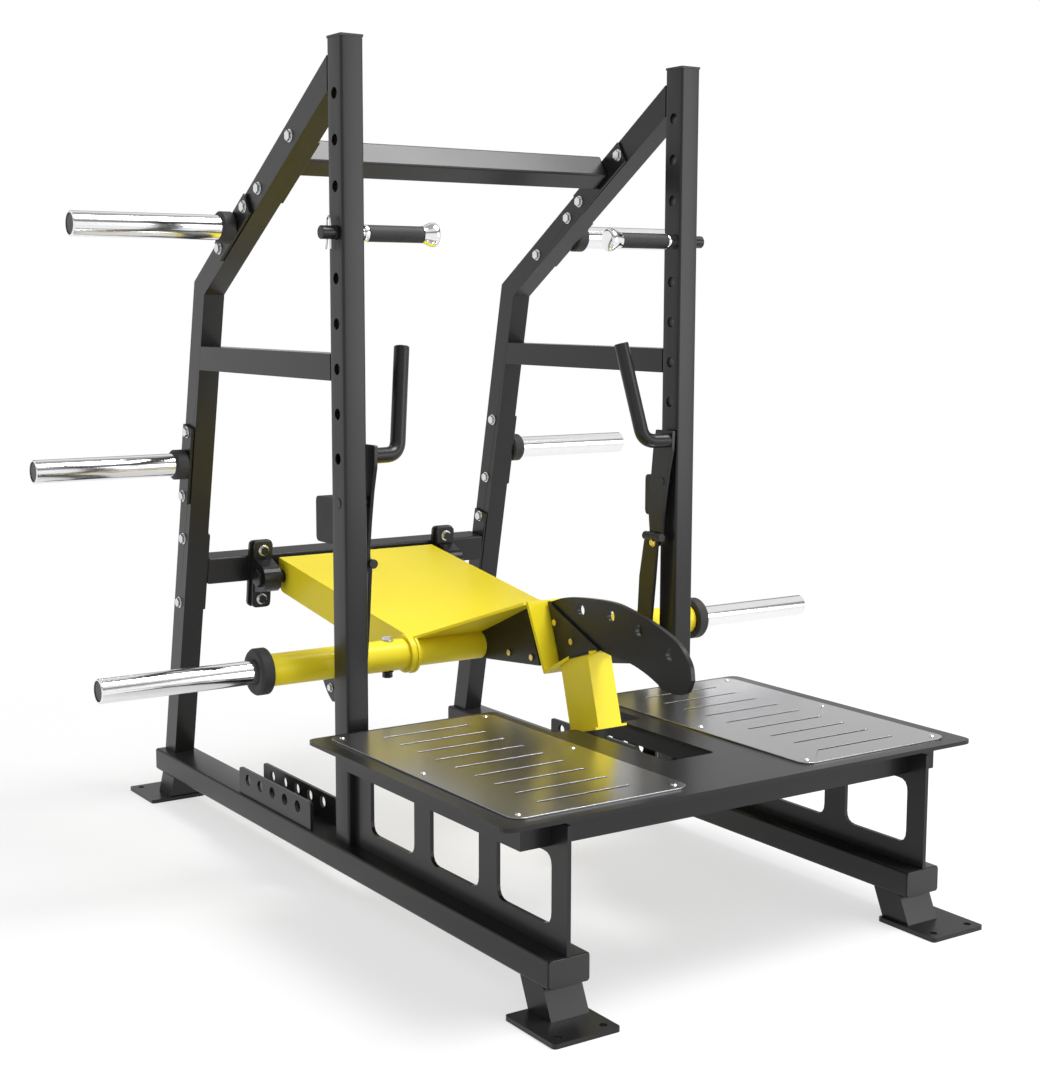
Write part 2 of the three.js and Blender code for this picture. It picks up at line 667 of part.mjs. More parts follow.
// The deck is one sheet with a slot for the drop tube that widens into a notch at the rear.
function addDeck() {
  const right = [
    point(DECK_HALF_WIDTH, 0),
    point(DECK_HALF_WIDTH, DECK_DEPTH),
    point(NOTCH_HALF_WIDTH, DECK_DEPTH),
    point(NOTCH_HALF_WIDTH, NOTCH_START),
    point(SLOT_HALF_WIDTH, NOTCH_START),
    point(SLOT_HALF_WIDTH, SLOT_START),
  ];
  const radii = [DECK_CORNER, DECK_CORNER, SLOT_CORNER, SLOT_CORNER, SLOT_CORNER, SLOT_CORNER];
  const left = right.map((corner) => point(-corner.x, corner.y)).reverse();
  const shape = outline([...right, ...left], [...radii, ...radii.toReversed()]);
  add('platform_deck', BLACK, [upZ(shape, DECK_UNDERSIDE, DECK_TOP)]);
}

function addTreads() {
  const bottom = DECK_TOP + GAP;
  const top = bottom + TREAD_THICKNESS;
  const middle = (TREAD_INNER_EDGE + TREAD_OUTER_EDGE) / 2;
  const midDepth = (TREAD_FRONT + TREAD_REAR) / 2;
  for (const [side, tag] of SIDES) {
    const edges = rectangle(side * TREAD_INNER_EDGE, side * TREAD_OUTER_EDGE, TREAD_FRONT, TREAD_REAR);
    const shape = outline(edges, TREAD_CORNER);
    for (let i = 0; i < TREAD_SLOT_COUNT; i += 1) {
      const depth = midDepth + (i - (TREAD_SLOT_COUNT - 1) / 2) * TREAD_SLOT_PITCH;
      const x0 = side * middle - TREAD_SLOT_LENGTH / 2;
      const y0 = depth - TREAD_SLOT_WIDTH / 2;
      const corners = rectangle(x0, x0 + TREAD_SLOT_LENGTH, y0, y0 + TREAD_SLOT_WIDTH);
      shape.holes.push(new THREE.Path(corners));
    }
    add(`tread_plate_${tag}`, STAINLESS, [upZ(shape, bottom, top)]);
  }
}

// The welded frame under the deck: a front beam, and on each side a side beam, a slot beam and a rear beam.
function addBeams() {
  const top = DECK_UNDERSIDE - GAP;
  let frame = block(-BEAM_OUTER_EDGE, BEAM_OUTER_EDGE, BEAM_FRONT, BEAM_FRONT + BEAM_WIDTH, BEAM_BOTTOM, top);
  for (const side of [-1, 1]) {
    const spans = [
      [SIDE_BEAM_INNER_EDGE, BEAM_OUTER_EDGE, BEAM_FRONT],
      [NOTCH_HALF_WIDTH, NOTCH_HALF_WIDTH + SLOT_BEAM_WIDTH, BEAM_FRONT],
      [NOTCH_HALF_WIDTH, BEAM_OUTER_EDGE, BEAM_REAR - BEAM_WIDTH],
    ];
    for (const [inner, outer, front] of spans) {
      frame = frame.add(block(side * inner, side * outer, front, BEAM_REAR, BEAM_BOTTOM, top));
    }
  }
  add('platform_frame', BLACK, [frame]);
}

// Windowed plates that stand on the rails and carry the platform's beams.
function addSupports() {
  const bottom = RAIL_TOP + GAP;
  const top = BEAM_BOTTOM - GAP;
  const tabRear = BEAM_FRONT - GAP;
  const shape = outline([
    point(0, bottom),
    point(POST_FRONT - GAP, bottom),
    point(POST_FRONT - GAP, top),
    point(tabRear, top),
    point(tabRear, top + SUPPORT_TAB_HEIGHT),
    point(0, top + SUPPORT_TAB_HEIGHT),
  ]);
  for (let i = 0; i < SUPPORT_WINDOW_COUNT; i += 1) {
    const start = SUPPORT_WINDOW_START + i * SUPPORT_WINDOW_PITCH;
    const window = outline(rectangle(start, start + SUPPORT_WINDOW_LENGTH,
      bottom + SUPPORT_WINDOW_SILL, top - SUPPORT_WINDOW_HEAD), SUPPORT_WINDOW_CORNER);
    shape.holes.push(new THREE.Path(window.getPoints(CORNER_STEPS)));
  }
  for (const [side, tag] of SIDES) {
    const outer = SIDE_BEAM_INNER_EDGE - GAP;
    add(`platform_support_${tag}`, BLACK, [acrossX(shape, side * (outer - SUPPORT_THICKNESS), side * outer)]);
  }
}

// The arm's pivot, carried in front of the leaning rear cross-member.
const bearingFoot = REAR_MEMBER_DEEP / 2 + GAP + BEARING_PLATE_THICKNESS;
const fromMember = (out, up) => rearMember.clone()
  .addScaledVector(memberFront, out)
  .addScaledVector(memberUp, up);
const pivot = fromMember(bearingFoot + BEARING_AXIS_HEIGHT, -PIVOT_DROP);

// A shape drawn across and along the cross-member's leaning front, and raised forward.
function ahead(shape, out, depth) {
  const origin = fromMember(out, 0);
  const up = new THREE.Vector3(0, memberUp.x, memberUp.y);
  return raise(shape, depth, new THREE.Vector3(0, origin.x, origin.y), axisX, up);
}

const disc = (centre, diameter, sides) => new THREE.Shape(roundHole(centre, diameter / 2, sides).getPoints());

// Pillow blocks on plates at the cross-member's front, each held by a bolt above and one below the shaft.
function addBearings() {
  const halfPlate = BEARING_PLATE_HEIGHT / 2;
  const web = [
    fromMember(bearingFoot, BEARING_BOSS_DIAMETER / 2 + BEARING_WEB_SPREAD - PIVOT_DROP),
    fromMember(bearingFoot + BEARING_AXIS_HEIGHT, BEARING_BOSS_DIAMETER / 2 - PIVOT_DROP),
    fromMember(bearingFoot + BEARING_AXIS_HEIGHT, -BEARING_BOSS_DIAMETER / 2 - PIVOT_DROP),
    fromMember(bearingFoot, -BEARING_BOSS_DIAMETER / 2 - BEARING_WEB_SPREAD - PIVOT_DROP),
  ];
  for (const [side, tag] of SIDES) {
    const middle = side * (BEARING_INNER_EDGE + BEARING_WIDTH / 2);
    const pad = (width) => outline(rectangle(middle - width / 2, middle + width / 2,
      -PIVOT_DROP - halfPlate, -PIVOT_DROP + halfPlate), BEARING_PLATE_CORNER);
    const bossInner = middle - BEARING_BOSS_WIDTH / 2;
    const bossOuter = middle + BEARING_BOSS_WIDTH / 2;
    const plateRear = bearingFoot - BEARING_PLATE_THICKNESS;
    let housing = ahead(pad(BEARING_WIDTH), plateRear, BEARING_PLATE_THICKNESS)
      .add(ahead(pad(BEARING_FOOT_WIDTH), plateRear, BEARING_PLATE_THICKNESS + BEARING_FOOT_THICKNESS))
      .add(acrossX(outline(web), bossInner, bossOuter))
      .add(rodX(BEARING_BOSS_DIAMETER, bossInner, bossOuter, pivot))
      .subtract(rodX(PIVOT_DIAMETER + 2 * RUNNING_CLEARANCE, bossInner - OVERRUN, bossOuter + OVERRUN, pivot));
    for (const end of [-1, 1]) {
      const centre = point(middle, end * BEARING_BOLT_SPACING / 2 - PIVOT_DROP);
      const head = disc(centre, BOLT_HEAD_WIDTH, HEX_SIDES);
      housing = housing.add(ahead(head, bearingFoot, BEARING_FOOT_THICKNESS + BOLT_HEAD_THICKNESS));
    }
    add(`bearing_block_${tag}`, BLACK, [housing]);
  }
}

function addStopBlocks() {
  const shape = outline(rectangle(POST_REAR + GAP, POST_REAR + STOP_BLOCK_DEPTH, STOP_BLOCK_BOTTOM,
    STOP_BLOCK_BOTTOM + STOP_BLOCK_HEIGHT), [0, STOP_BLOCK_CORNER, STOP_BLOCK_CORNER, 0]);
  const outerEdge = STOP_BLOCK_INNER_EDGE + STOP_BLOCK_WIDTH;
  for (const [side, tag] of SIDES) {
    add(`stop_block_${tag}`, RUBBER, [acrossX(shape, side * STOP_BLOCK_INNER_EDGE, side * outerEdge)]);
  }
}

// Lines of the arm's plates on the machine's middle plane. The top plate runs over the pivot and the cross tube,
// the nose plate falls from its tip to the tube, and the two meet in a valley fold.
const tubeCentre = point(CROSS_TUBE_DEPTH, CROSS_TUBE_HEIGHT);
const crestHeight = CROSS_TUBE_RADIUS + ARM_PLATE + GAP;
const armRise = (ARM_SIDE_DEPTH / 2 - crestHeight) / tubeCentre.distanceTo(pivot);
const armDirection = pivot.clone().sub(tubeCentre).normalize().rotateAround(point(0, 0), Math.asin(armRise));
const armNormal = point(-armDirection.y, armDirection.x);
const armCrest = tubeCentre.clone().addScaledVector(armNormal, crestHeight);
const noseTip = point(NOSE_TIP_DEPTH, NOSE_TIP_HEIGHT);
const noseTurn = Math.asin(CROSS_TUBE_RADIUS / noseTip.distanceTo(tubeCentre));
const noseDirection = noseTip.clone().sub(tubeCentre).normalize().rotateAround(point(0, 0), noseTurn);
const noseNormal = point(noseDirection.y, -noseDirection.x);
const foldRun = noseTip.clone().sub(armCrest).cross(noseDirection) / armDirection.cross(noseDirection);
const fold = armCrest.clone().addScaledVector(armDirection, foldRun);
const noseLength = fold.distanceTo(noseTip);
const stripFoot = point(STRIP_FOOT_DEPTH, STRIP_FOOT_HEIGHT);
const saddleBend = point(SADDLE_BEND_DEPTH, SADDLE_BEND_HEIGHT);
const saddleTip = point(SADDLE_TIP_DEPTH, SADDLE_TIP_HEIGHT);
const frontLine = [noseTip, stripFoot];
const saddleLine = [saddleTip, saddleBend, stripFoot];
const tubeRoom = rodX(CROSS_TUBE_DIAMETER + 2 * GAP, -SLEEVE_TIP, SLEEVE_TIP, tubeCentre);

function armPlaneAt(depth, drop) {
  const run = (depth - armCrest.x + drop * armNormal.x) / armDirection.x;
  return armCrest.clone().addScaledVector(armDirection, run).addScaledVector(armNormal, -drop);
}

// The top plate and two side plates with round front ends, and a flange for the cross tube outside each.
function addArmBody() {
  const armRear = pivot.x + ARM_TAIL;
  const plateFront = fold.clone().addScaledVector(armDirection, 2 * GAP);
  const plate = outline([plateFront, armPlaneAt(armRear, 0), armPlaneAt(armRear, ARM_PLATE),
    plateFront.clone().addScaledVector(armNormal, -ARM_PLATE)]);
  const endRadius = ARM_SIDE_DEPTH - crestHeight;
  const down = armNormal.angle() + Math.PI;
  const noseUnderside = noseNormal.angle() + Math.acos((CROSS_TUBE_RADIUS - ARM_PLATE) / endRadius);
  const frontEnd = arcPoints(tubeCentre, endRadius, down, noseUnderside);
  const side = outline([
    ...frontEnd.reverse(),
    armPlaneAt(armRear, ARM_SIDE_DEPTH),
    armPlaneAt(armRear, 0),
    plateFront,
  ], [...frontEnd.map(() => 0), ARM_SIDE_CORNER]);
  side.holes.push(roundHole(pivot, PIVOT_DIAMETER / 2 + RUNNING_CLEARANCE, ROUND_SIDES));
  const sideInner = ARM_HALF_WIDTH - ARM_PLATE;
  const flangeOuter = ARM_HALF_WIDTH + SLEEVE_FLANGE_THICKNESS;
  let shell = acrossX(plate, -ARM_HALF_WIDTH, ARM_HALF_WIDTH);
  for (const sign of [-1, 1]) {
    shell = shell
      .add(acrossX(side, sign * sideInner, sign * ARM_HALF_WIDTH).subtract(noseRoom))
      .add(rodX(SLEEVE_FLANGE_DIAMETER, sign * ARM_HALF_WIDTH, sign * flangeOuter, tubeCentre));
  }
  add('arm_shell', YELLOW, [shell.subtract(tubeRoom)]);
}

// The nose plate narrows from the fold to the strip at its tip.
function noseSolid(clearance) {
  const shape = outline([
    point(-NOSE_ROOT_HALF_WIDTH - 2 * clearance, -clearance),
    point(NOSE_ROOT_HALF_WIDTH + 2 * clearance, -clearance),
    point(NOSE_TIP_HALF_WIDTH + 2 * clearance, noseLength + clearance),
    point(-NOSE_TIP_HALF_WIDTH - 2 * clearance, noseLength + clearance),
  ]);
  const start = fold.clone().addScaledVector(noseNormal, clearance);
  const origin = new THREE.Vector3(0, start.x, start.y);
  const along = new THREE.Vector3(0, noseDirection.x, noseDirection.y);
  return raise(shape, ARM_PLATE + 2 * clearance, origin, axisX, along);
}

// The room above the nose plate's underside, over the whole width of the arm.
const noseStart = fold.clone().addScaledVector(noseDirection, -GAP);
const noseRoomShape = outline(sheet([noseTip, noseStart], OVERRUN, ARM_PLATE + GAP));
const noseRoom = acrossX(noseRoomShape, -ARM_HALF_WIDTH, ARM_HALF_WIDTH);

// The front strip and the saddle under the fin, folded from one sheet that tapers in width.
function foldedFront(clearance) {
  const folded = (line) => outline(sheet(line, clearance, ARM_PLATE + clearance));
  const strip = acrossX(folded(frontLine), -ARM_HALF_WIDTH, ARM_HALF_WIDTH);
  const saddle = acrossX(folded(saddleLine), -ARM_HALF_WIDTH, ARM_HALF_WIDTH);
  const right = [
    point(DROP_TUBE_WIDTH / 2 + clearance, SADDLE_TIP_DEPTH - OVERRUN),
    point(SADDLE_BEND_HALF_WIDTH + clearance, SADDLE_BEND_DEPTH),
    point(STRIP_FOOT_HALF_WIDTH + clearance, STRIP_FOOT_DEPTH),
    point(NOSE_TIP_HALF_WIDTH + clearance, NOSE_TIP_DEPTH + OVERRUN),
  ];
  const left = right.map((corner) => point(-corner.x, corner.y)).reverse();
  const taper = upZ(outline([...right, ...left]), 0, MACHINE_HEIGHT);
  return strip.add(saddle).intersect(taper);
}

// The nose plate with its folded front, and two brackets below it that reach back to the cross tube.
function addNose() {
  let nose = noseSolid(0).add(foldedFront(0));
  const bracket = outline([
    point(BRACKET_FRONT, BRACKET_FRONT_HEIGHT),
    point(CROSS_TUBE_DEPTH, CROSS_TUBE_HEIGHT - CROSS_TUBE_RADIUS),
    tubeCentre,
    fold.clone().addScaledVector(noseNormal, -ARM_PLATE),
    point(BRACKET_TOP_DEPTH, noseTip.y),
  ]);
  const above = outline(sheet([noseTip, fold], OVERRUN + ARM_PLATE, 0));
  const overNose = acrossX(above, -ARM_HALF_WIDTH, ARM_HALF_WIDTH);
  for (const side of [-1, 1]) {
    const half = side * BRACKET_THICKNESS / 2;
    const middle = side * BRACKET_OFFSET;
    nose = nose.add(acrossX(bracket, middle - half, middle + half).subtract(overNose));
  }
  add('arm_nose', YELLOW, [nose.subtract(tubeRoom)]);
}

function addDropTube() {
  const lean = radians(DROP_TUBE_LEAN_DEGREES);
  const up = point(Math.sin(lean), Math.cos(lean));
  const forward = point(-up.y, up.x);
  const rearFoot = point(DROP_TUBE_REAR_FOOT, DROP_TUBE_REAR_FOOT_HEIGHT);
  const footCentre = rearFoot.clone().addScaledVector(forward, DROP_TUBE_DEPTH / 2);
  const centre = footCentre.clone().addScaledVector(up, DROP_TUBE_LENGTH / 2);
  const above = outline(sheet(saddleLine, DROP_TUBE_LENGTH, ARM_PLATE + GAP));
  const keepOut = acrossX(above, -ARM_HALF_WIDTH, ARM_HALF_WIDTH);
  const half = DROP_TUBE_WIDTH / 2;
  const side = outline(bar(centre, up, DROP_TUBE_LENGTH, DROP_TUBE_DEPTH));
  const tube = acrossX(side, -half, half).subtract(keepOut);
  const lipCentre = footCentre.clone().addScaledVector(up, -DROP_LIP_THICKNESS / 2);
  const lipShape = outline(bar(lipCentre, up, DROP_LIP_THICKNESS, DROP_TUBE_DEPTH + 2 * DROP_LIP_EDGE));
  const lip = acrossX(lipShape, -DROP_LIP_HALF_WIDTH, DROP_LIP_HALF_WIDTH);
  add('drop_tube', YELLOW, [tube.add(lip)]);
  const topRadius = BUMPER_TOP_DIAMETER / 2;
  const footRadius = BUMPER_FOOT_DIAMETER / 2;
  const bumper = new THREE.CylinderGeometry(topRadius, footRadius, BUMPER_HEIGHT, ROUND_SIDES);
  bumper.rotateX(Math.PI / 2 - lean);
  const drop = DROP_LIP_THICKNESS + GAP + BUMPER_HEIGHT / 2;
  const bumperCentre = footCentre.clone().addScaledVector(up, -drop);
  bumper.translate(0, bumperCentre.x, bumperCentre.y);
  add('drop_bumper', RUBBER, [solid(bumper)]);
}

// The cross tube runs the full width, with a thicker sleeve outside each flange of the arm's side plates.
function addCrossTube() {
  const bore = LOAD_SLEEVE_DIAMETER + 2 * GAP;
  const sleeveRoot = ARM_HALF_WIDTH + SLEEVE_FLANGE_THICKNESS + GAP;
  const collarRoot = SLEEVE_TIP + GAP;
  const collarTip = SLEEVE_TIP + LOAD_COLLAR_LENGTH;
  const collarRadius = LOAD_COLLAR_DIAMETER / 2;
  const boreRoom = rodX(bore, -SLEEVE_TIP - OVERRUN, SLEEVE_TIP + OVERRUN, tubeCentre);
  let tube = rodX(CROSS_TUBE_DIAMETER, -SLEEVE_TIP, SLEEVE_TIP, tubeCentre);
  for (const [side, tag] of SIDES) {
    tube = tube.add(rodX(SLEEVE_DIAMETER, side * sleeveRoot, side * SLEEVE_TIP, tubeCentre));
    add(`load_sleeve_${tag}`, CHROME, [
      rodX(LOAD_SLEEVE_DIAMETER, side * LOAD_SLEEVE_ROOT, side * LOAD_SLEEVE_TIP, tubeCentre)]);
    add(`load_collar_${tag}`, RUBBER, [turned([
      [collarRoot, bore / 2],
      [collarRoot, collarRadius],
      [collarTip - LOAD_COLLAR_RIM, collarRadius],
      [collarTip, collarRadius - LOAD_COLLAR_RIM],
      [collarTip, bore / 2],
    ], side, tubeCentre)]);
  }
  add('cross_tube', YELLOW, [tube.subtract(boreRoom)]);
}

function addPivotShaft() {
  const bearingMiddle = BEARING_INNER_EDGE + BEARING_WIDTH / 2;
  const nutInner = bearingMiddle + BEARING_BOSS_WIDTH / 2 + GAP;
  const nutOuter = nutInner + PIVOT_NUT_THICKNESS;
  let shaft = rodX(PIVOT_DIAMETER, -nutOuter, nutOuter, pivot);
  for (const side of [-1, 1]) {
    shaft = shaft.add(rodX(PIVOT_NUT_DIAMETER, side * nutInner, side * nutOuter, pivot, HEX_SIDES));
  }
  add('pivot_shaft', ZINC, [shaft]);
}

// Shares of the fin's length and height, from its front and foot, along the top edge and back below.
const finTopShare = [[1, 0.79], [0.84, 0.93], [0.56, 1], [0.4, 0.947], [0.245, 0.84], [0.095, 0.673],
  [0.017, 0.44]];
const finNoseShare = [[0, 0.233], [0.03, 0.06], [0.09, 0], [0.19, 0], [0.21, 0.053], [0.292, 0.153],
  [0.397, 0.233], [0.523, 0.267]];
const finHoleShare = [[0.756, 0.787], [0.54, 0.807], [0.345, 0.707], [0.143, 0.493]];
const gussetShare = [[0.99, 0.81], [0.6, 0.31], [0.69, 0.2], [0.89, -0.06]];
const gussetBoltShare = [[0.926, 0.54], [0.8, 0.333]];

function addFin() {
  const origin = point(FIN_FRONT, FIN_FOOT);
  const size = point(FIN_LENGTH, FIN_HEIGHT);
  const place = (share) => placed(origin, size, share);
  const top = new THREE.SplineCurve(finTopShare.map(place)).getPoints(finTopShare.length * FIN_STEPS);
  const shape = outline([...top, ...finNoseShare.map(place), saddleTip, saddleBend, stripFoot]);
  for (const share of finHoleShare) {
    shape.holes.push(roundHole(place(share), FIN_HOLE_DIAMETER / 2, HOLE_SIDES));
  }
  const keepOut = foldedFront(GAP).add(noseSolid(GAP));
  let fin = acrossX(shape, -FIN_THICKNESS / 2, FIN_THICKNESS / 2).subtract(keepOut);
  const inner = FIN_THICKNESS / 2 + GAP;
  const outer = inner + GUSSET_THICKNESS;
  const head = outer + SMALL_HEAD_THICKNESS;
  const gusset = outline(gussetShare.map(place));
  let clamp = acrossX(gusset, inner, outer).add(acrossX(gusset, -outer, -inner)).subtract(keepOut);
  const boltRoom = SMALL_BOLT_DIAMETER + 2 * RUNNING_CLEARANCE;
  for (const share of gussetBoltShare) {
    const centre = place(share);
    fin = fin.subtract(rodX(boltRoom, -OVERRUN, OVERRUN, centre, BOLT_SIDES));
    clamp = clamp
      .add(rodX(SMALL_BOLT_DIAMETER, -outer, outer, centre, BOLT_SIDES))
      .add(rodX(SMALL_HEAD_WIDTH, outer, head, centre, HEX_SIDES))
      .add(rodX(SMALL_HEAD_WIDTH, -head, -outer, centre, HEX_SIDES));
  }
  add('belt_fin', BLACK, [largest(fin)]);
  add('fin_clamp', BLACK, [largest(clamp)]);
}

// Each lever turns on a pin through the lowest hole of the upright. The flat jaw of its hook lies under the
// cross tube, square to the line from the pin to the tube, so it can swing away without lifting the tube.
const leverPivot = point(HOLE_DEPTH, LOWEST_HOLE);
const reach = tubeCentre.clone().sub(leverPivot).normalize();
const jawAlong = point(-reach.y, reach.x);
const barrelCentre = point(HOLE_DEPTH, LOWEST_HOLE - LEVER_BARREL_DROP);
// Shares of the lever's width and height, from the pin.
const bladeShare = [[-0.413, 1], [0.25, 1], [0.348, 0.603], [0.435, 0], [0.5, -0.664], [0.413, -1.26],
  [-0.033, -1.26], [-0.043, -0.83], [-0.13, -0.345], [-0.25, 0.19], [-0.391, 0.62]];
const shankRearShare = [[0.565, -1.216], [0.74, -1.93], [0.79, -2.586]];
const shankFrontShare = [[0.239, -2.68], [0.13, -1.948], [0.033, -1.164], [0.152, -1.01], [0.42, -1.01]];
const leverBoltShare = [0.185, -1.216];
// Shares of half a turn about the cross tube: the start and end of the hook's round heel, and the shank's foot.
const heelTurnShare = [1.828, 1.658];
const shankTurnShare = 1.24;
const leverSize = point(LEVER_WIDTH, LEVER_TOP);

function hookOutline() {
  const place = (share) => placed(leverPivot, leverSize, share);
  const jawMiddle = tubeCentre.clone().addScaledVector(reach, SLEEVE_DIAMETER / 2 + HOOK_CLEARANCE);
  const [heelStart, heelEnd] = heelTurnShare.map((share) => share * Math.PI);
  return outline([
    ...shankRearShare.map(place),
    jawMiddle.clone().addScaledVector(jawAlong, -HOOK_THROAT),
    jawMiddle.clone().addScaledVector(jawAlong, HOOK_TIP_REACH),
    ...arcPoints(tubeCentre, HOOK_HEEL_RADIUS, heelStart, heelEnd),
    around(tubeCentre, HOOK_HEEL_RADIUS, shankTurnShare * Math.PI),
    ...shankFrontShare.map(place),
  ]);
}

// A bent round bar that the hand pulls, from the lever's plate across and up.
function leverHandle(side) {
  const rootX = side * (LEVER_PLATE_FACE - LEVER_PLATE / 2);
  const rootY = leverPivot.x - HANDLE_ROOT_SETBACK;
  const rootZ = leverPivot.y + HANDLE_RISE;
  const root = new THREE.Vector3(rootX, rootY, rootZ);
  const corner = new THREE.Vector3(side * HANDLE_CORNER_OFFSET, rootY + HANDLE_ROOT_SETBACK / 2, rootZ);
  const tip = new THREE.Vector3(side * HANDLE_TIP_OFFSET, rootY + HANDLE_TIP_SETBACK, rootZ + HANDLE_HEIGHT);
  const bendStart = corner.clone().lerp(root, HANDLE_BEND / corner.distanceTo(root));
  const bendEnd = corner.clone().lerp(tip, HANDLE_BEND / corner.distanceTo(tip));
  const path = new THREE.CurvePath();
  path.add(new THREE.LineCurve3(root, bendStart));
  path.add(new THREE.QuadraticBezierCurve3(bendStart, corner, bendEnd));
  path.add(new THREE.LineCurve3(bendEnd, tip));
  return wire(path, HANDLE_DIAMETER, HANDLE_STEPS, HANDLE_SIDES);
}

function addLevers() {
  const outerFace = LEVER_PLATE_FACE;
  const innerFace = outerFace - LEVER_PLATE;
  const hookInner = innerFace - HOOK_PLATE;
  const blade = outline(bladeShare.map((share) => placed(leverPivot, leverSize, share)));
  const bolt = placed(leverPivot, leverSize, leverBoltShare);
  const pinHole = LEVER_PIN_DIAMETER + 2 * RUNNING_CLEARANCE;
  const barrelFront = barrelCentre.x - LEVER_BARREL_FRONT;
  const barrelRear = barrelCentre.x + LEVER_BARREL_REAR;
  const headEnd = innerFace - GAP - LEVER_PIN_HEAD_THICKNESS;
  for (const [side, tag] of SIDES) {
    const barrelX = side * (hookInner + innerFace) / 2;
    const lever = acrossX(blade, side * innerFace, side * outerFace)
      .subtract(rodX(pinHole, side * hookInner, side * POST_INNER, leverPivot, PIN_SIDES))
      .add(acrossX(hookOutline(), side * hookInner, side * innerFace))
      .add(rodY(LEVER_BARREL_DIAMETER, barrelFront, barrelRear, barrelX, barrelCentre.y))
      .add(boltX(side, hookInner, outerFace, bolt))
      .add(leverHandle(side));
    add(`release_lever_${tag}`, BLACK, [lever]);
    add(`lever_pin_${tag}`, ZINC, [turned([
      [headEnd, 0],
      [headEnd, LEVER_PIN_HEAD / 2],
      [innerFace - GAP, LEVER_PIN_HEAD / 2],
      [innerFace - GAP, LEVER_PIN_DIAMETER / 2],
      [outerFace + GAP, LEVER_PIN_DIAMETER / 2],
      [outerFace + GAP, LEVER_PIN_HEAD / 2],
      [POST_INNER - GAP, LEVER_PIN_HEAD / 2],
      [POST_INNER - GAP, LEVER_PIN_DIAMETER / 2],
      [POST_OUTER + GAP, LEVER_PIN_DIAMETER / 2],
      [POST_OUTER + GAP, LEVER_PIN_HEAD / 2],
      [POST_OUTER + GAP + LEVER_PIN_HEAD_THICKNESS, LEVER_PIN_HEAD / 2],
      [POST_OUTER + GAP + LEVER_PIN_HEAD_THICKNESS, 0],
    ], side, leverPivot, PIN_SIDES)]);
  }
}

// A round bar or wire along a path.
function wire(path, diameter, steps, sides) {
  const rim = [];
  for (let i = 0; i < sides; i += 1) {
    const turn = i * 2 * Math.PI / sides;
    rim.push(point(diameter / 2 * Math.cos(turn), diameter / 2 * Math.sin(turn)));
  }
  const settings = { steps, bevelEnabled: false, extrudePath: path };
  return solid(new THREE.ExtrudeGeometry(new THREE.Shape(rim), settings));
}

function addGrips() {
  const centre = point(HOLE_DEPTH, LOWEST_HOLE + GRIP_HOLE * HOLE_PITCH);
  const coreStart = GRIP_END + GRIP_END_WALL + GAP;
  const collarStart = GRIP_SLEEVE_END + GAP;
  const collarEnd = collarStart + GRIP_COLLAR_LENGTH;
  const washer = POST_OUTER + GAP;
  const bore = GRIP_CORE_DIAMETER / 2 + GAP;
  for (const [side, tag] of SIDES) {
    const clipHole = rodZ(CLIP_WIRE_DIAMETER + 2 * RUNNING_CLEARANCE, centre.y - GRIP_SHANK_DIAMETER,
      centre.y + GRIP_SHANK_DIAMETER, side * CLIP_OFFSET, centre.x, BOLT_SIDES);
    add(`grip_bar_${tag}`, CHROME, [turned([
      [coreStart, 0],
      [coreStart, GRIP_CORE_DIAMETER / 2],
      [collarStart, GRIP_CORE_DIAMETER / 2],
      [collarStart, GRIP_COLLAR_DIAMETER / 2],
      [collarEnd, GRIP_COLLAR_DIAMETER / 2],
      [collarEnd, GRIP_NECK_DIAMETER / 2],
      [POST_INNER - GAP, GRIP_NECK_DIAMETER / 2],
      [POST_INNER - GAP, GRIP_SHANK_DIAMETER / 2],
      [washer, GRIP_SHANK_DIAMETER / 2],
      [washer, GRIP_WASHER_DIAMETER / 2],
      [washer + GRIP_WASHER_THICKNESS, GRIP_WASHER_DIAMETER / 2],
      [washer + GRIP_WASHER_THICKNESS, GRIP_SHANK_DIAMETER / 2],
      [GRIP_SHANK_END, GRIP_SHANK_DIAMETER / 2],
      [GRIP_SHANK_END, 0],
    ], side, centre).subtract(clipHole)]);
    add(`grip_sleeve_${tag}`, RUBBER, [turned([
      [GRIP_END, 0],
      [GRIP_END, GRIP_FLARE_DIAMETER / 2],
      [GRIP_END + GRIP_FLARE_LENGTH / 2, GRIP_FLARE_DIAMETER / 2],
      [GRIP_END + GRIP_FLARE_LENGTH, GRIP_DIAMETER / 2],
      [GRIP_SLEEVE_END, GRIP_DIAMETER / 2],
      [GRIP_SLEEVE_END, bore],
      [GRIP_END + GRIP_END_WALL, bore],
      [GRIP_END + GRIP_END_WALL, 0],
    ], side, centre)]);
    const x = side * CLIP_OFFSET;
    const at = (y, z) => new THREE.Vector3(x, centre.x + y, centre.y + z);
    const clip = new THREE.CurvePath();
    clip.add(new THREE.LineCurve3(at(0, -CLIP_DROP), at(0, CLIP_RISE)));
    clip.add(new THREE.CubicBezierCurve3(at(0, CLIP_RISE), at(0, CLIP_RISE + CLIP_SPREAD),
      at(CLIP_SPREAD, CLIP_RISE + CLIP_SPREAD), at(CLIP_SPREAD, CLIP_RISE)));
    clip.add(new THREE.LineCurve3(at(CLIP_SPREAD, CLIP_RISE), at(CLIP_SPREAD, -CLIP_DROP / 2)));
    clip.add(new THREE.LineCurve3(at(CLIP_SPREAD, -CLIP_DROP / 2), at(CLIP_SPREAD + CLIP_FLARE, -CLIP_DROP)));
    add(`grip_clip_${tag}`, ZINC, [wire(clip, CLIP_WIRE_DIAMETER, CLIP_STEPS, CLIP_SIDES)]);
  }
}

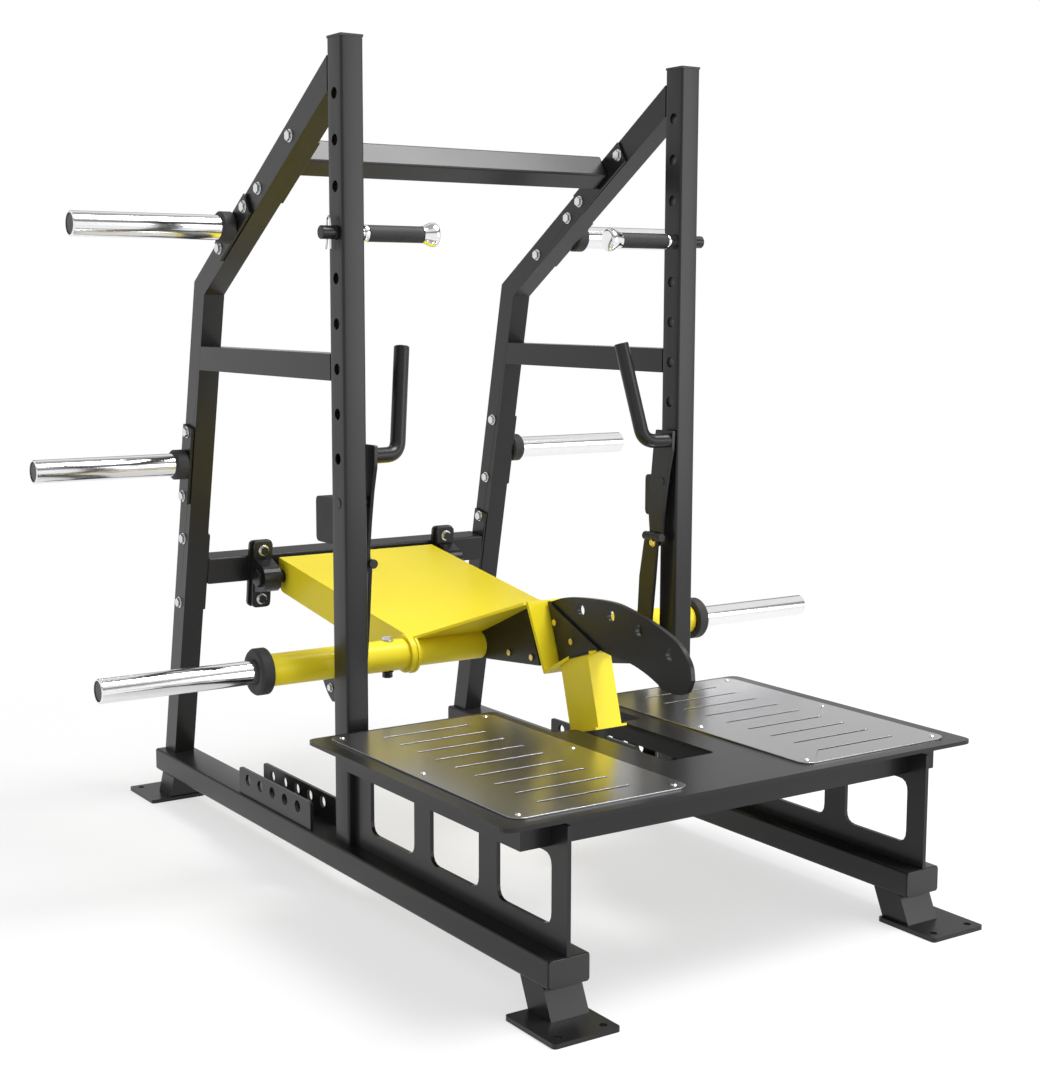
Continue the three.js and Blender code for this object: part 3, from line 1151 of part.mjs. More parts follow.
addRails();
addFeet();
addFrontUprights();
addRearUprights();
addCrossMembers();
addHorns();
addBandPlates();
addDeck();
addTreads();
addBeams();
addSupports();
addBearings();
addStopBlocks();
addArmBody();
addNose();
addDropTube();
addCrossTube();
addPivotShaft();
addFin();
addLevers();
addGrips();

// The machine's reference point is on the floor below the middle of its outline.
machine.position.y = -(RAIL_LENGTH + REAR_FOOT_REACH - FRONT_FOOT_REACH) / 2;

export default machine;
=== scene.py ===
# Belt squat machine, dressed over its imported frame. Metres, +Z up, the user's side is -Y.
from math import acos, cos, pi, radians, sin, tan

import bmesh
import bpy
from mathutils import Matrix, Vector


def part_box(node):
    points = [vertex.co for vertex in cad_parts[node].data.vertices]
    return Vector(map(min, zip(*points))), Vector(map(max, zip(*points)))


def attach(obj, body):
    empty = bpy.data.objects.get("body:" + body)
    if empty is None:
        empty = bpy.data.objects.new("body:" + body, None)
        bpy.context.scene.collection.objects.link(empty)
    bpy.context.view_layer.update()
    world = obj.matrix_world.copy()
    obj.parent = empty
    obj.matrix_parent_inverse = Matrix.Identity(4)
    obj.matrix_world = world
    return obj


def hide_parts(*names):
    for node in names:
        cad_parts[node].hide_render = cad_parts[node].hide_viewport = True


# The photograph's camera, fitted on its full 1040 x 1074 frame
PHOTO_LONG_SIDE = 1074
FOCAL_PIXELS = 1763.93
SENSOR = 36
CAMERA_PLACE = Vector((-2.0985, -3.19725, 1.2193))
CAMERA_YAW = radians(33.787)
CAMERA_PITCH = radians(-7.588)
CAMERA_ROLL = radians(0.156)

# Tubes
TUBE_CORNER = 0.005
TUBE_WALL = 0.003
LEG_LEAN = radians(11.75)
ROOF_SLOPE = radians(33)
HOLE_RADIUS = 0.0115
HOLE_PITCH = 0.0893
LOWEST_HOLE = 0.818
HOLE_COUNT = 10
HOLE_SEGMENTS = 32
CAP_ROOM = 0.003
CAP_LENGTH = 0.004
CAP_INSET = 0.001
CAP_CORNER = 0.006

# Bolts
BOLT_EDGE = 0.014
BOLT_RADIUS = 0.0113
BOLT_HEIGHT = 0.0078
BOLT_BEVEL = 0.0007
WASHER_SPREAD = 1.2
WASHER_HEIGHT = 0.0018
WASHER_SEGMENTS = 32

# Cross-members, and the plates bolted to the rear uprights
TOP_MEMBER_SIZE = 0.056
TOP_MEMBER_RAISE = 0.013
REAR_MEMBER_SIZE = (0.065, 0.06)
REAR_MEMBER_LEAN = radians(7.6)
MEMBER_PLATE_LENGTHS = {"top": 0.208, "rear": 0.19}
MEMBER_PLATE_WIDTH = 0.054
MEMBER_PLATE = 0.006
HORN_PLATE_LENGTH = 0.184
HORN_PLATE_WIDTH = 0.05
HORN_PLATE = 0.008

# Chromed bars, with a plug in the outer end and a collar at the root
BAR_WALL = 0.004
BAR_EDGE = 0.0015
PLUG_SEAT = 0.012
PLUG_BACK = 0.0115
PLUG_FRONT = 0.002
PLUG_EDGE = 0.002
FIT = 0.0004
COLLAR_WALL = 0.008
HORN_COLLAR_LENGTH = 0.032
HORN_COLLAR_EDGE = 0.004
LOAD_COLLAR_EDGE = 0.002
LOAD_COLLAR_SLOPE = (0.005, 0.004)
LOAD_COLLAR_LIP = 0.003

# Tread plates
TREAD_CORNER = 0.026
SLOT_COUNT = 9
SLOT_PITCH = 0.0676
SLOT_REACH = 0.1
SLOT_HALF_WIDTH = 0.0035
SLOT_CORNER = 0.0034
SCREW_INSET = 0.022
SCREW_RADIUS = 0.0062
SCREW_HEIGHT = 0.0022
SCREW_TOP = 0.6
SCREW_SEGMENTS = 24

# Arm
PIVOT_BOLT_SPACING = 0.061
BEARING_FACE = 0.0543
PIVOT_DROP = 0.0117
BRACKET_FACES = (0.0299, 0.0361)
BRACKET_BOLT_FACE = 0.036
BRACKET_BOLTS = ((-0.0773, 0.47), (-0.1633, 0.474))
BRACKET_BOLT_RADIUS = 0.0075
BRACKET_BOLT_HEIGHT = 0.005
CLAMP_FACE = 0.0112
CLAMP_BOLT_RISE = 0.002
FLANGE = (0.2169, 0.2311)
FLANGE_RADIUS = 0.0412
FLANGE_EDGE = 0.0015
PIPE_RADIUS = 0.03
SLEEVE_ROOT = 0.2313
SLEEVE_OVERLAP = 0.001
SLEEVE_BORE = 0.0254
SLEEVE_RADIUS = 0.0337
SLEEVE_EDGE = 0.001
LOCK_BOLT_OFFSET = 0.27
LOCK_BOLT_SINK = 0.0006
LOCK_NUT_HEIGHT = 0.014

# Belt fin, from its front and foot, in shares of its length and height
FIN_FRONT = -0.65425
FIN_FOOT = 0.473
FIN_LENGTH = 0.476
FIN_HEIGHT = 0.15
FIN_TOP = ((1, 0.79), (0.84, 0.93), (0.56, 1), (0.4, 0.947), (0.245, 0.84), (0.095, 0.673), (0.017, 0.44),
           (0, 0.233))
FIN_TIP = ((0, 0.233), (0.03, 0.06), (0.09, 0), (0.19, 0))
FIN_UNDER = ((0.19, 0), (0.21, 0.053), (0.292, 0.153), (0.397, 0.233), (0.523, 0.267))
FIN_STEPS = 8
FIN_HOLES = ((0.756, 0.787), (0.54, 0.807), (0.345, 0.707), (0.143, 0.493))
FIN_HOLE_RADIUS = 0.012
FIN_HOLE_SEGMENTS = 40
SADDLE_TIP = (-0.35725, 0.519)
SADDLE_BEND = (-0.29625, 0.499)
STRIP_FOOT = (-0.21725, 0.454)

# Release levers: the outlines of blade and shank in millimetres of depth and height from the pin
MM = 0.001
BLADE = ((-38, 116), (23, 116), (32, 70), (40, 0), (46, -77), (38, -146), (-3, -146), (-4, -96), (-12, -40),
         (-23, 22), (-36, 72))
BLADE_CORNER = 0.003
SHANK_REAR = ((52, -141), (68, -224), (72.7, -300))
SHANK_FRONT = ((22, -311), (12, -226), (3, -135), (14, -117), (38.6, -117))
BLADE_FACES = (0.376, 0.384)
HOOK_FACES = (0.368, 0.376)
JAW_CLEARANCE = 0.002
JAW = (-0.0506, 0.0845)
HEEL_RADIUS = 0.111
HEEL_TURNS = (1.828 * pi, 1.658 * pi)
HEEL_STEPS = 20
SHANK_TURN = 1.24 * pi
BARREL_DEPTHS = (-10, 52)
BARREL_DROP = 0.128
BARREL_RADIUS = 0.01
JOINT_BOLT = (0.017, 0.141)
HOOK_BOLT = (0.1028, 0.4)
LEVER_BOLT_RADIUS = 0.008
LEVER_BOLT_HEIGHT = 0.006
PIN_RADIUS = 0.011
PIN_PROUD = 0.0015
PIN_EDGE = 0.001

# Levers' handles: distance from the middle, then depth and height from the pin, the root or the corner
HANDLE_ROOT = (0.38, -0.021, 0.094)
HANDLE_CORNER = (0.316, 0.0105)
HANDLE_TIP = (0.281, 0.051, 0.217)
HANDLE_RADIUS = 0.016
HANDLE_BEND = 0.028
HANDLE_STEPS = 16

# Grips: the knob by depth from its face and drop from its widest radius, the rod's ring by run and radius
KNOB = ((0, 0.006), (0.0008, 0.0035), (0.0025, 0.0014), (0.005, 0.0003), (0.009, 0), (0.014, 0.0008),
        (0.019, 0.0027), (0.024, 0.005), (0.029, 0.0068), (0.034, 0.0076))
KNOB_LENGTH = 0.034
KNOB_SEAT = 0.0085
GRIP_BORE = 0.0104
GRIP_START = 0.0343
GRIP_RADIUS = 0.0168
GRIP_EDGE = 0.0012
ROD_START = 0.0088
ROD_RADIUS = 0.01
ROD_RING = ((0, 0.0165), (0.001, 0.017), (0.008, 0.017), (0.009, 0.0165), (0.009, 0.013), (0.0189, 0.013),
            (0.0189, 0.0105))
ROD_NECK = 0.0105
GRIP_WASHER = (0.0004, 0.0044)
GRIP_WASHER_RADIUS = 0.0145
GRIP_WASHER_EDGE = 0.001
GRIP_END_START = 0.0042
GRIP_END_RADIUS = 0.0135

# The studio: its brightness by the height that a ray rises, the floor's white and the lamps
STUDIO_BANDS = ((0.0, 1.0), (0.2, 1.0), (0.32, 0.3), (0.48, 0.25), (0.6, 0.9), (0.8, 0.9), (0.9, 0.4),
                (1.0, 0.45))
FLOOR_REACH = 30
FLOOR_FADE = (1.1, 2.6)
FLOOR_WHITE = (0.62, 1)
LAMPS = (("key", (1.6, -1.6, 5.6), 2.6, 320), ("front", (3.4, -5.2, 1.6), 3.2, 95))
LAMP_TARGET = Vector((0, 0, 0.7))

PLATE_BEVEL = 0.0012
SHARP_ANGLE = radians(30)
BEVEL_ANGLE = radians(35)
FLAT_ANGLE = radians(0.6)
GAP = 0.0003
OVERRUN = 0.01
TURN_SEGMENTS = 72
BAR_SEGMENTS = 32

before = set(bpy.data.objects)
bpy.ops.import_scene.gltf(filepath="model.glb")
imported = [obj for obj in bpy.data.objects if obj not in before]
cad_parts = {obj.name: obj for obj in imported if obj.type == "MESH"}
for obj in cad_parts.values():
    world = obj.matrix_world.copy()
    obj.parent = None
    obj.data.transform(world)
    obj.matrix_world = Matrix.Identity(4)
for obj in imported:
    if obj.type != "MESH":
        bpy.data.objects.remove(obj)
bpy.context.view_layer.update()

SIDES = ((-1, "l"), (1, "r"))
X = Vector((1, 0, 0))
Y = Vector((0, 1, 0))
Z = Vector((0, 0, 1))
LEG = Vector((0, -sin(LEG_LEAN), cos(LEG_LEAN)))
ROOF = Vector((0, -cos(ROOF_SLOPE), sin(ROOF_SLOPE)))
MEMBER_UP = Vector((0, -sin(REAR_MEMBER_LEAN), cos(REAR_MEMBER_LEAN)))
MEMBER_FRONT = Vector((0, -cos(REAR_MEMBER_LEAN), -sin(REAR_MEMBER_LEAN)))


# Materials
def new_material(name):
    material = bpy.data.materials.new(name)
    material.use_nodes = True
    tree = material.node_tree
    return material, tree, tree.nodes["Principled BSDF"]


def noise(tree, scale, detail=3.0, stretch=(1, 1, 1)):
    place = tree.nodes.new("ShaderNodeTexCoord")
    mapping = tree.nodes.new("ShaderNodeMapping")
    mapping.inputs["Scale"].default_value = stretch
    texture = tree.nodes.new("ShaderNodeTexNoise")
    texture.inputs["Scale"].default_value = scale
    texture.inputs["Detail"].default_value = detail
    tree.links.new(place.outputs["Object"], mapping.inputs["Vector"])
    tree.links.new(mapping.outputs["Vector"], texture.inputs["Vector"])
    return texture.outputs["Fac"]


def ramp(tree, value, low, high):
    spread = tree.nodes.new("ShaderNodeMapRange")
    spread.inputs["To Min"].default_value = low
    spread.inputs["To Max"].default_value = high
    tree.links.new(value, spread.inputs["Value"])
    return spread.outputs["Result"]


def tint(tree, value, dark, light):
    mix = tree.nodes.new("ShaderNodeMix")
    mix.data_type = "RGBA"
    mix.inputs["A"].default_value = (*dark, 1)
    mix.inputs["B"].default_value = (*light, 1)
    tree.links.new(value, mix.inputs["Factor"])
    return mix.outputs["Result"]


def bump(tree, shader, value, strength, distance):
    node = tree.nodes.new("ShaderNodeBump")
    node.inputs["Strength"].default_value = strength
    node.inputs["Distance"].default_value = distance
    tree.links.new(value, node.inputs["Height"])
    tree.links.new(node.outputs["Normal"], shader.inputs["Normal"])


def powder_coat(name, dark, light, roughness, gloss):
    """Baked paint: broad patches of tone and a fine orange peel under a thin clear coat."""
    material, tree, shader = new_material(name)
    broad = noise(tree, scale=7)
    tree.links.new(tint(tree, broad, dark, light), shader.inputs["Base Color"])
    tree.links.new(ramp(tree, broad, roughness - 0.04, roughness + 0.06), shader.inputs["Roughness"])
    shader.inputs["Specular IOR Level"].default_value = gloss
    shader.inputs["Coat Weight"].default_value = 0.05
    shader.inputs["Coat Roughness"].default_value = 0.1
    bump(tree, shader, noise(tree, scale=900, detail=2), strength=0.025, distance=0.0003)
    return material


def metal(name, dark, light, roughness, spread, scale, stretch=(1, 1, 1)):
    material, tree, shader = new_material(name)
    grain = noise(tree, scale, 4, stretch)
    shader.inputs["Metallic"].default_value = 1
    tree.links.new(tint(tree, grain, dark, light), shader.inputs["Base Color"])
    tree.links.new(ramp(tree, grain, roughness, roughness + spread), shader.inputs["Roughness"])
    return material


def matte(name, dark, light, roughness, grain, depth):
    """Rubber or plastic with a moulded grain."""
    material, tree, shader = new_material(name)
    tree.links.new(tint(tree, noise(tree, scale=12), dark, light), shader.inputs["Base Color"])
    patches = ramp(tree, noise(tree, scale=40), roughness - 0.06, roughness + 0.06)
    tree.links.new(patches, shader.inputs["Roughness"])
    bump(tree, shader, noise(tree, grain, detail=2), 0.25, depth)
    return material


BLACK = powder_coat("black_coat", (0.0095, 0.0095, 0.01), (0.014, 0.014, 0.0145), roughness=0.3, gloss=0.32)
YELLOW = powder_coat("yellow_coat", (0.83, 0.675, 0.018), (0.87, 0.715, 0.024), roughness=0.36, gloss=0.22)
CHROME = metal("chrome", (0.80, 0.80, 0.81), (0.88, 0.88, 0.89), roughness=0.09, spread=0.05, scale=60)
STAINLESS = metal("brushed_sheet", (0.48, 0.48, 0.49), (0.60, 0.60, 0.61), roughness=0.2, spread=0.09, scale=14,
                  stretch=(1, 60, 1))
ZINC = metal("zinc_plate", (0.62, 0.625, 0.63), (0.80, 0.80, 0.81), roughness=0.2, spread=0.1, scale=90)
BRASS = metal("yellow_zinc", (0.68, 0.54, 0.2), (0.80, 0.67, 0.28), roughness=0.2, spread=0.1, scale=90)
RUBBER = matte("rubber", (0.012, 0.012, 0.0125), (0.02, 0.02, 0.021), roughness=0.62, grain=700, depth=0.0006)
WORN_RUBBER = matte("worn_rubber", (0.04, 0.04, 0.041), (0.065, 0.065, 0.066), roughness=0.7, grain=500,
                    depth=0.0006)
PLASTIC = matte("plastic", (0.012, 0.012, 0.013), (0.018, 0.018, 0.019), roughness=0.42, grain=1200, depth=0.0002)


# Making pieces
def add_piece(name, mesh, material, body, nodes=(), bevel=0.0):
    mesh.materials.append(material)
    mesh.shade_smooth()
    mesh.set_sharp_from_angle(angle=SHARP_ANGLE)
    piece = bpy.data.objects.new(name, mesh)
    bpy.context.collection.objects.link(piece)
    if bevel:
        round_edges(piece, bevel, segments=3)
    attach(piece, body)
    if nodes:
        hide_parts(*nodes)


def round_edges(piece, width, segments):
    edges = piece.modifiers.new("edges", "BEVEL")
    edges.width = width
    edges.segments = segments
    edges.limit_method = "ANGLE"
    edges.angle_limit = BEVEL_ANGLE
    edges.harden_normals = True


def dress(node, material, bevel):
    """A CAD node keeps its shape and gets clean faces, rounded edges and a finish."""
    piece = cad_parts[node]
    piece.data.materials.clear()
    piece.data.materials.append(material)
    for polygon in piece.data.polygons:
        polygon.use_smooth = True
    flats = piece.modifiers.new("flats", "DECIMATE")
    flats.decimate_type = "DISSOLVE"
    flats.angle_limit = FLAT_ANGLE
    flats.delimit = {"MATERIAL"}
    if bevel:
        round_edges(piece, bevel, segments=2)
    weight = piece.modifiers.new("normals", "WEIGHTED_NORMAL")
    weight.keep_sharp = True
    return piece


def paint(piece, material, near, far, least):
    """A second finish on a CAD node's faces that lie between two distances from the middle and reach a third."""
    piece.data.materials.append(material)
    index = len(piece.data.materials) - 1
    for polygon in piece.data.polygons:
        places = [piece.data.vertices[i].co.x for i in polygon.vertices]
        distances = [abs(place) for place in places]
        one_side = min(places) > 0 or max(places) < 0
        if one_side and near < min(distances) and least < max(distances) < far:
            polygon.material_index = index


def mesh_of(name, corners, faces):
    mesh = bpy.data.meshes.new(name)
    mesh.from_pydata([tuple(corner) for corner in corners], [], faces)
    builder = bmesh.new()
    builder.from_mesh(mesh)
    bmesh.ops.recalc_face_normals(builder, faces=builder.faces)
    builder.to_mesh(mesh)
    builder.free()
    return mesh


def raised(name, outline, depth, origin, across, up):
    """A flat outline on two directions, raised square to them by a depth."""
    out = across.cross(up).normalized()
    flat = [origin + across * a + up * b for a, b in outline]
    count = len(flat)
    corners = flat + [place + out * depth for place in flat]
    sides = [(i, (i + 1) % count, (i + 1) % count + count, i + count) for i in range(count)]
    return mesh_of(name, corners, [tuple(range(count))[::-1], tuple(range(count, 2 * count)), *sides])


def across_x(name, outline, x0, x1):
    """An outline in depth and height, raised from one distance across the machine to another."""
    return raised(name, outline, abs(x1 - x0), X * min(x0, x1), Y, Z)


def rounded(corners, radius, steps=5):
    """An outline whose corners are arcs."""
    points = []
    count = len(corners)
    for i, corner in enumerate(corners):
        here = Vector(corner)
        back = (Vector(corners[i - 1]) - here).normalized()
        on = (Vector(corners[(i + 1) % count]) - here).normalized()
        half = acos(max(-1, min(1, back.dot(on)))) / 2
        middle = here + (back + on).normalized() * radius / sin(half)
        start = here + back * radius / tan(half)
        end = here + on * radius / tan(half)
        for step in range(steps + 1):
            ray = (start - middle).lerp(end - middle, step / steps).normalized()
            points.append(tuple(middle + ray * radius))
    return points


def rectangle(a0, a1, b0, b1):
    return [(a0, b0), (a1, b0), (a1, b1), (a0, b1)]


def bar(centre, direction, length, width):
    """The outline, in depth and height, of a bar about a centre."""
    across = Vector((0, -direction.z, direction.y))
    ends = ((-1, -1), (1, -1), (1, 1), (-1, 1))
    corners = [centre + direction * (u * length / 2) + across * (v * width / 2) for u, v in ends]
    return [(corner.y, corner.z) for corner in corners]


def turned_mesh(name, profile, centre, side, segments=TURN_SEGMENTS):
    """Pairs of distance from the middle plane and radius, turned about a line across the machine."""
    corners, rings = [], []
    for distance, radius in profile:
        if radius == 0:
            rings.append([len(corners)])
            corners.append(Vector((side * distance, centre.y, centre.z)))
            continue
        rings.append(list(range(len(corners), len(corners) + segments)))
        for i in range(segments):
            turn = 2 * pi * i / segments
            y, z = centre.y + radius * cos(turn), centre.z + radius * sin(turn)
            corners.append(Vector((side * distance, y, z)))
    faces = []
    for before, after in zip(rings, rings[1:] + rings[:1]):
        if len(before) == 1 and len(after) == 1:
            continue
        for i in range(segments):
            j = (i + 1) % segments
            if len(before) == 1:
                faces.append((before[0], after[i], after[j]))
            elif len(after) == 1:
                faces.append((before[i], after[0], before[j]))
            else:
                faces.append((before[i], after[i], after[j], before[j]))
    return mesh_of(name, corners, faces)


def swept_mesh(name, path, radius):
    """A round bar along a line of places."""
    count = BAR_SEGMENTS
    corners, faces = [], []
    side = None
    for i, place in enumerate(path):
        run = (path[min(i + 1, len(path) - 1)] - path[max(i - 1, 0)]).normalized()
        side = run.orthogonal().normalized() if side is None else (side - run * side.dot(run)).normalized()
        other = run.cross(side)
        for j in range(count):
            turn = 2 * pi * j / count
            corners.append(place + (side * cos(turn) + other * sin(turn)) * radius)
    last = (len(path) - 1) * count
    for first in range(0, last, count):
        following = first + count
        for j in range(count):
            k = (j + 1) % count
            faces.append((first + j, first + k, following + k, following + j))
    faces.append(tuple(range(count))[::-1])
    faces.append(tuple(range(last, last + count)))
    return mesh_of(name, corners, faces)


def ring_profile(x0, x1, inner, outer, edge):
    """The profile of a ring with eased ends, for turned_mesh."""
    return [(x0, inner), (x0, outer - edge), (x0 + edge, outer), (x1 - edge, outer), (x1, outer - edge),
            (x1, inner)]


def solid_profile(x0, x1, radius, edge):
    """The profile of a bar with eased ends, for turned_mesh."""
    return ring_profile(x0, x1, 0, radius, edge)


def bolt(name, place, out, body, radius=BOLT_RADIUS, height=BOLT_HEIGHT, washer=True, material=ZINC):
    """A hexagon head, with its washer, standing out of a face."""
    turn = out.to_track_quat("Z", "Y").to_matrix().to_4x4()
    builder = bmesh.new()
    base = WASHER_HEIGHT if washer else 0
    if washer:
        wide = radius * WASHER_SPREAD
        bmesh.ops.create_cone(builder, cap_ends=True, segments=WASHER_SEGMENTS, radius1=wide, radius2=wide,
                              depth=base, matrix=Matrix.Translation((0, 0, base / 2)))
    bmesh.ops.create_cone(builder, cap_ends=True, segments=6, radius1=radius, radius2=radius,
                          depth=height - base, matrix=Matrix.Translation((0, 0, (height + base) / 2)))
    bmesh.ops.transform(builder, matrix=Matrix.Translation(place) @ turn, verts=builder.verts)
    mesh = bpy.data.meshes.new(name)
    builder.to_mesh(mesh)
    builder.free()
    add_piece(name, mesh, material, body, bevel=BOLT_BEVEL)


def bolt_pair(name, centre, direction, length, x, out):
    """A bolt at each end of a plate on the frame."""
    for end, tag in ((-1, "a"), (1, "b")):
        place = centre + direction * (end * (length / 2 - BOLT_EDGE))
        bolt(f"{name}_{tag}", Vector((x, place.y, place.z)), out, "frame")


def cut(mesh, cutters):
    """A mesh with the cutters' shapes taken out of it."""
    target = bpy.data.objects.new("target", mesh)
    bpy.context.collection.objects.link(target)
    tools = []
    for cutter in cutters:
        tool = bpy.data.objects.new("tool", cutter)
        bpy.context.collection.objects.link(tool)
        tools.append(tool)
        take = target.modifiers.new("take", "BOOLEAN")
        take.operation = "DIFFERENCE"
        take.solver = "EXACT"
        take.object = tool
    graph = bpy.context.evaluated_depsgraph_get()
    result = bpy.data.meshes.new_from_object(target.evaluated_get(graph))
    for item in (target, *tools):
        bpy.data.objects.remove(item)
    return result


def middle_of(node):
    low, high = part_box(node)
    return (low + high) / 2


def span_of(low, high):
    """The nearest and farthest distance of a box from the middle plane."""
    return sorted((abs(low.x), abs(high.x)))


# Rails and feet
def make_rails():
    for _, tag in SIDES:
        node = f"base_rail_{tag}"
        low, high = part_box(node)
        outline = rounded(rectangle(low.x, high.x, low.z, high.z), TUBE_CORNER)
        length = high.y - low.y - 2 * CAP_ROOM
        mesh = raised("rail", outline, length, Y * (high.y - CAP_ROOM), X, Z)
        add_piece(f"rail_{tag}", mesh, BLACK, "frame", [node])
        inset = rectangle(low.x + CAP_INSET, high.x - CAP_INSET, low.z + CAP_INSET, high.z - CAP_INSET)
        for end, place in (("front", low.y + CAP_LENGTH), ("rear", high.y)):
            cap = raised("cap", rounded(inset, CAP_CORNER), CAP_LENGTH, Y * place, X, Z)
            add_piece(f"rail_cap_{end}_{tag}", cap, PLASTIC, "frame", bevel=0.0012)
        for end in ("front", "rear"):
            dress(f"{end}_foot_{tag}", BLACK, bevel=0.0015)


# Uprights
def make_uprights():
    for side, tag in SIDES:
        node = f"front_upright_{tag}"
        low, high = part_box(node)
        outer = rounded(rectangle(low.x, high.x, low.y, high.y), TUBE_CORNER)
        up = high.z - low.z
        tube = raised("upright", outer, up, Z * low.z, X, Y)
        inner = rectangle(low.x + TUBE_WALL, high.x - TUBE_WALL, low.y + TUBE_WALL, high.y - TUBE_WALL)
        cutters = [raised("hollow", inner, up + 2 * OVERRUN, Z * (low.z - OVERRUN), X, Y)]
        near, far = span_of(low, high)
        hole = solid_profile(near - OVERRUN, far + OVERRUN, HOLE_RADIUS, edge=0.001)
        for i in range(HOLE_COUNT):
            centre = Vector((0, (low.y + high.y) / 2, LOWEST_HOLE + i * HOLE_PITCH))
            cutters.append(turned_mesh("hole", hole, centre, side, HOLE_SEGMENTS))
        add_piece(f"upright_{tag}", cut(tube, cutters), BLACK, "frame", [node], bevel=0.0006)
        dress(f"post_cap_{tag}", PLASTIC, bevel=0.0015)
        dress(f"rear_upright_{tag}", BLACK, bevel=0.0024)
        dress(f"side_brace_{tag}", BLACK, bevel=0.003)


# Cross-members with their end plates
def make_members():
    post_low, post_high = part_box("front_upright_r")
    face = post_low.x - GAP
    plate_face = face - MEMBER_PLATE
    for level, direction in (("top", ROOF), ("rear", LEG)):
        node = f"{level}_crossmember"
        centre = middle_of(node)
        centre.x = 0
        if level == "top":
            outline = bar(centre + Z * TOP_MEMBER_RAISE, ROOF, TOP_MEMBER_SIZE, TOP_MEMBER_SIZE)
        else:
            outline = bar(centre, MEMBER_UP, *REAR_MEMBER_SIZE)
        mesh = across_x("member", outline, -plate_face, plate_face)
        add_piece(f"{level}_member", mesh, BLACK, "frame", [node], bevel=TUBE_CORNER)
        length = MEMBER_PLATE_LENGTHS[level]
        plate_outline = bar(centre, direction, length, MEMBER_PLATE_WIDTH)
        for side, tag in SIDES:
            plate = across_x("plate", plate_outline, side * face, side * plate_face)
            add_piece(f"{level}_member_plate_{tag}", plate, BLACK, "frame", bevel=PLATE_BEVEL)
            bolt_pair(f"{level}_bolt_in_{tag}", centre, direction, length, side * plate_face, -side * X)
            bolt_pair(f"{level}_bolt_out_{tag}", centre, direction, length, side * post_high.x, side * X)


# Storage horns, whose chromed bars the arm has too
def chrome_bar(name, plug_name, node, body, side):
    """A chromed bar with a plug sunk in its outer end. Gives its middle and radius."""
    low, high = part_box(node)
    centre = middle_of(node)
    radius = (high.z - low.z) / 2
    root, tip = span_of(low, high)
    bore = radius - BAR_WALL
    profile = [(root, 0), (root, radius), (tip - BAR_EDGE, radius), (tip, radius - BAR_EDGE), (tip, bore),
               (tip - PLUG_SEAT, bore), (tip - PLUG_SEAT, 0)]
    add_piece(name, turned_mesh("bar", profile, centre, side), CHROME, body, [node])
    plug = solid_profile(tip - PLUG_BACK, tip - PLUG_FRONT, bore - FIT, PLUG_EDGE)
    add_piece(plug_name, turned_mesh("plug", plug, centre, side), PLASTIC, body)
    return centre, radius


def make_horns():
    post_low, post_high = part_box("front_upright_r")
    inner = post_high.x + GAP
    outer = inner + HORN_PLATE
    for side, tag in SIDES:
        for level, direction in (("upper", ROOF), ("middle", LEG)):
            centre, radius = chrome_bar(f"{level}_sleeve_{tag}", f"{level}_plug_{tag}", f"{level}_horn_{tag}",
                                        "frame", side)
            plate = across_x("plate", bar(centre, direction, HORN_PLATE_LENGTH, HORN_PLATE_WIDTH),
                             side * inner, side * outer)
            add_piece(f"{level}_plate_{tag}", plate, BLACK, "frame", [f"{level}_horn_bracket_{tag}"],
                      bevel=PLATE_BEVEL)
            collar = ring_profile(outer, outer + HORN_COLLAR_LENGTH, radius + FIT, radius + COLLAR_WALL,
                                  HORN_COLLAR_EDGE)
            add_piece(f"{level}_collar_{tag}", turned_mesh("collar", collar, centre, side), RUBBER, "frame")
            for part, x, out in (("bolt", outer, side), ("nut", post_low.x, -side)):
                bolt_pair(f"{level}_{part}_{tag}", centre, direction, HORN_PLATE_LENGTH, side * x, out * X)


# Platform
def make_platform():
    dress("platform_deck", BLACK, bevel=0.0015)
    dress("platform_frame", BLACK, bevel=0.003)
    for _, tag in SIDES:
        dress(f"platform_support_{tag}", BLACK, bevel=0.001)
        for place in ("inner", "outer"):
            dress(f"band_plate_{place}_{tag}", BLACK, bevel=0.001)
        make_tread(tag)


def make_tread(tag):
    node = f"tread_plate_{tag}"
    low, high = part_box(node)
    middle = (low + high) / 2
    outline = rounded(rectangle(low.x, high.x, low.y, high.y), TREAD_CORNER, steps=8)
    sheet = raised("tread", outline, high.z - low.z, Z * low.z, X, Y)
    cutters = []
    for i in range(SLOT_COUNT):
        y = middle.y + (i - SLOT_COUNT // 2) * SLOT_PITCH
        slot = rectangle(middle.x - SLOT_REACH, middle.x + SLOT_REACH, y - SLOT_HALF_WIDTH, y + SLOT_HALF_WIDTH)
        slot = rounded(slot, SLOT_CORNER, steps=4)
        cutters.append(raised("slot", slot, 2 * OVERRUN, Z * (low.z - OVERRUN), X, Y))
    add_piece(f"tread_{tag}", cut(sheet, cutters), STAINLESS, "frame", [node], bevel=0.0006)
    for row, y in enumerate((low.y + SCREW_INSET, middle.y, high.y - SCREW_INSET)):
        for column, x in enumerate((low.x + SCREW_INSET, high.x - SCREW_INSET)):
            screw(f"tread_screw_{tag}{row}{column}", Vector((x, y, high.z)))


def screw(name, place):
    """A flat button head on the platform."""
    builder = bmesh.new()
    bmesh.ops.create_cone(builder, cap_ends=True, segments=SCREW_SEGMENTS, radius1=SCREW_RADIUS,
                          radius2=SCREW_RADIUS * SCREW_TOP, depth=SCREW_HEIGHT,
                          matrix=Matrix.Translation(place + Vector((0, 0, SCREW_HEIGHT / 2))))
    mesh = bpy.data.meshes.new(name)
    builder.to_mesh(mesh)
    builder.free()
    add_piece(name, mesh, CHROME, "frame", bevel=0.0004)


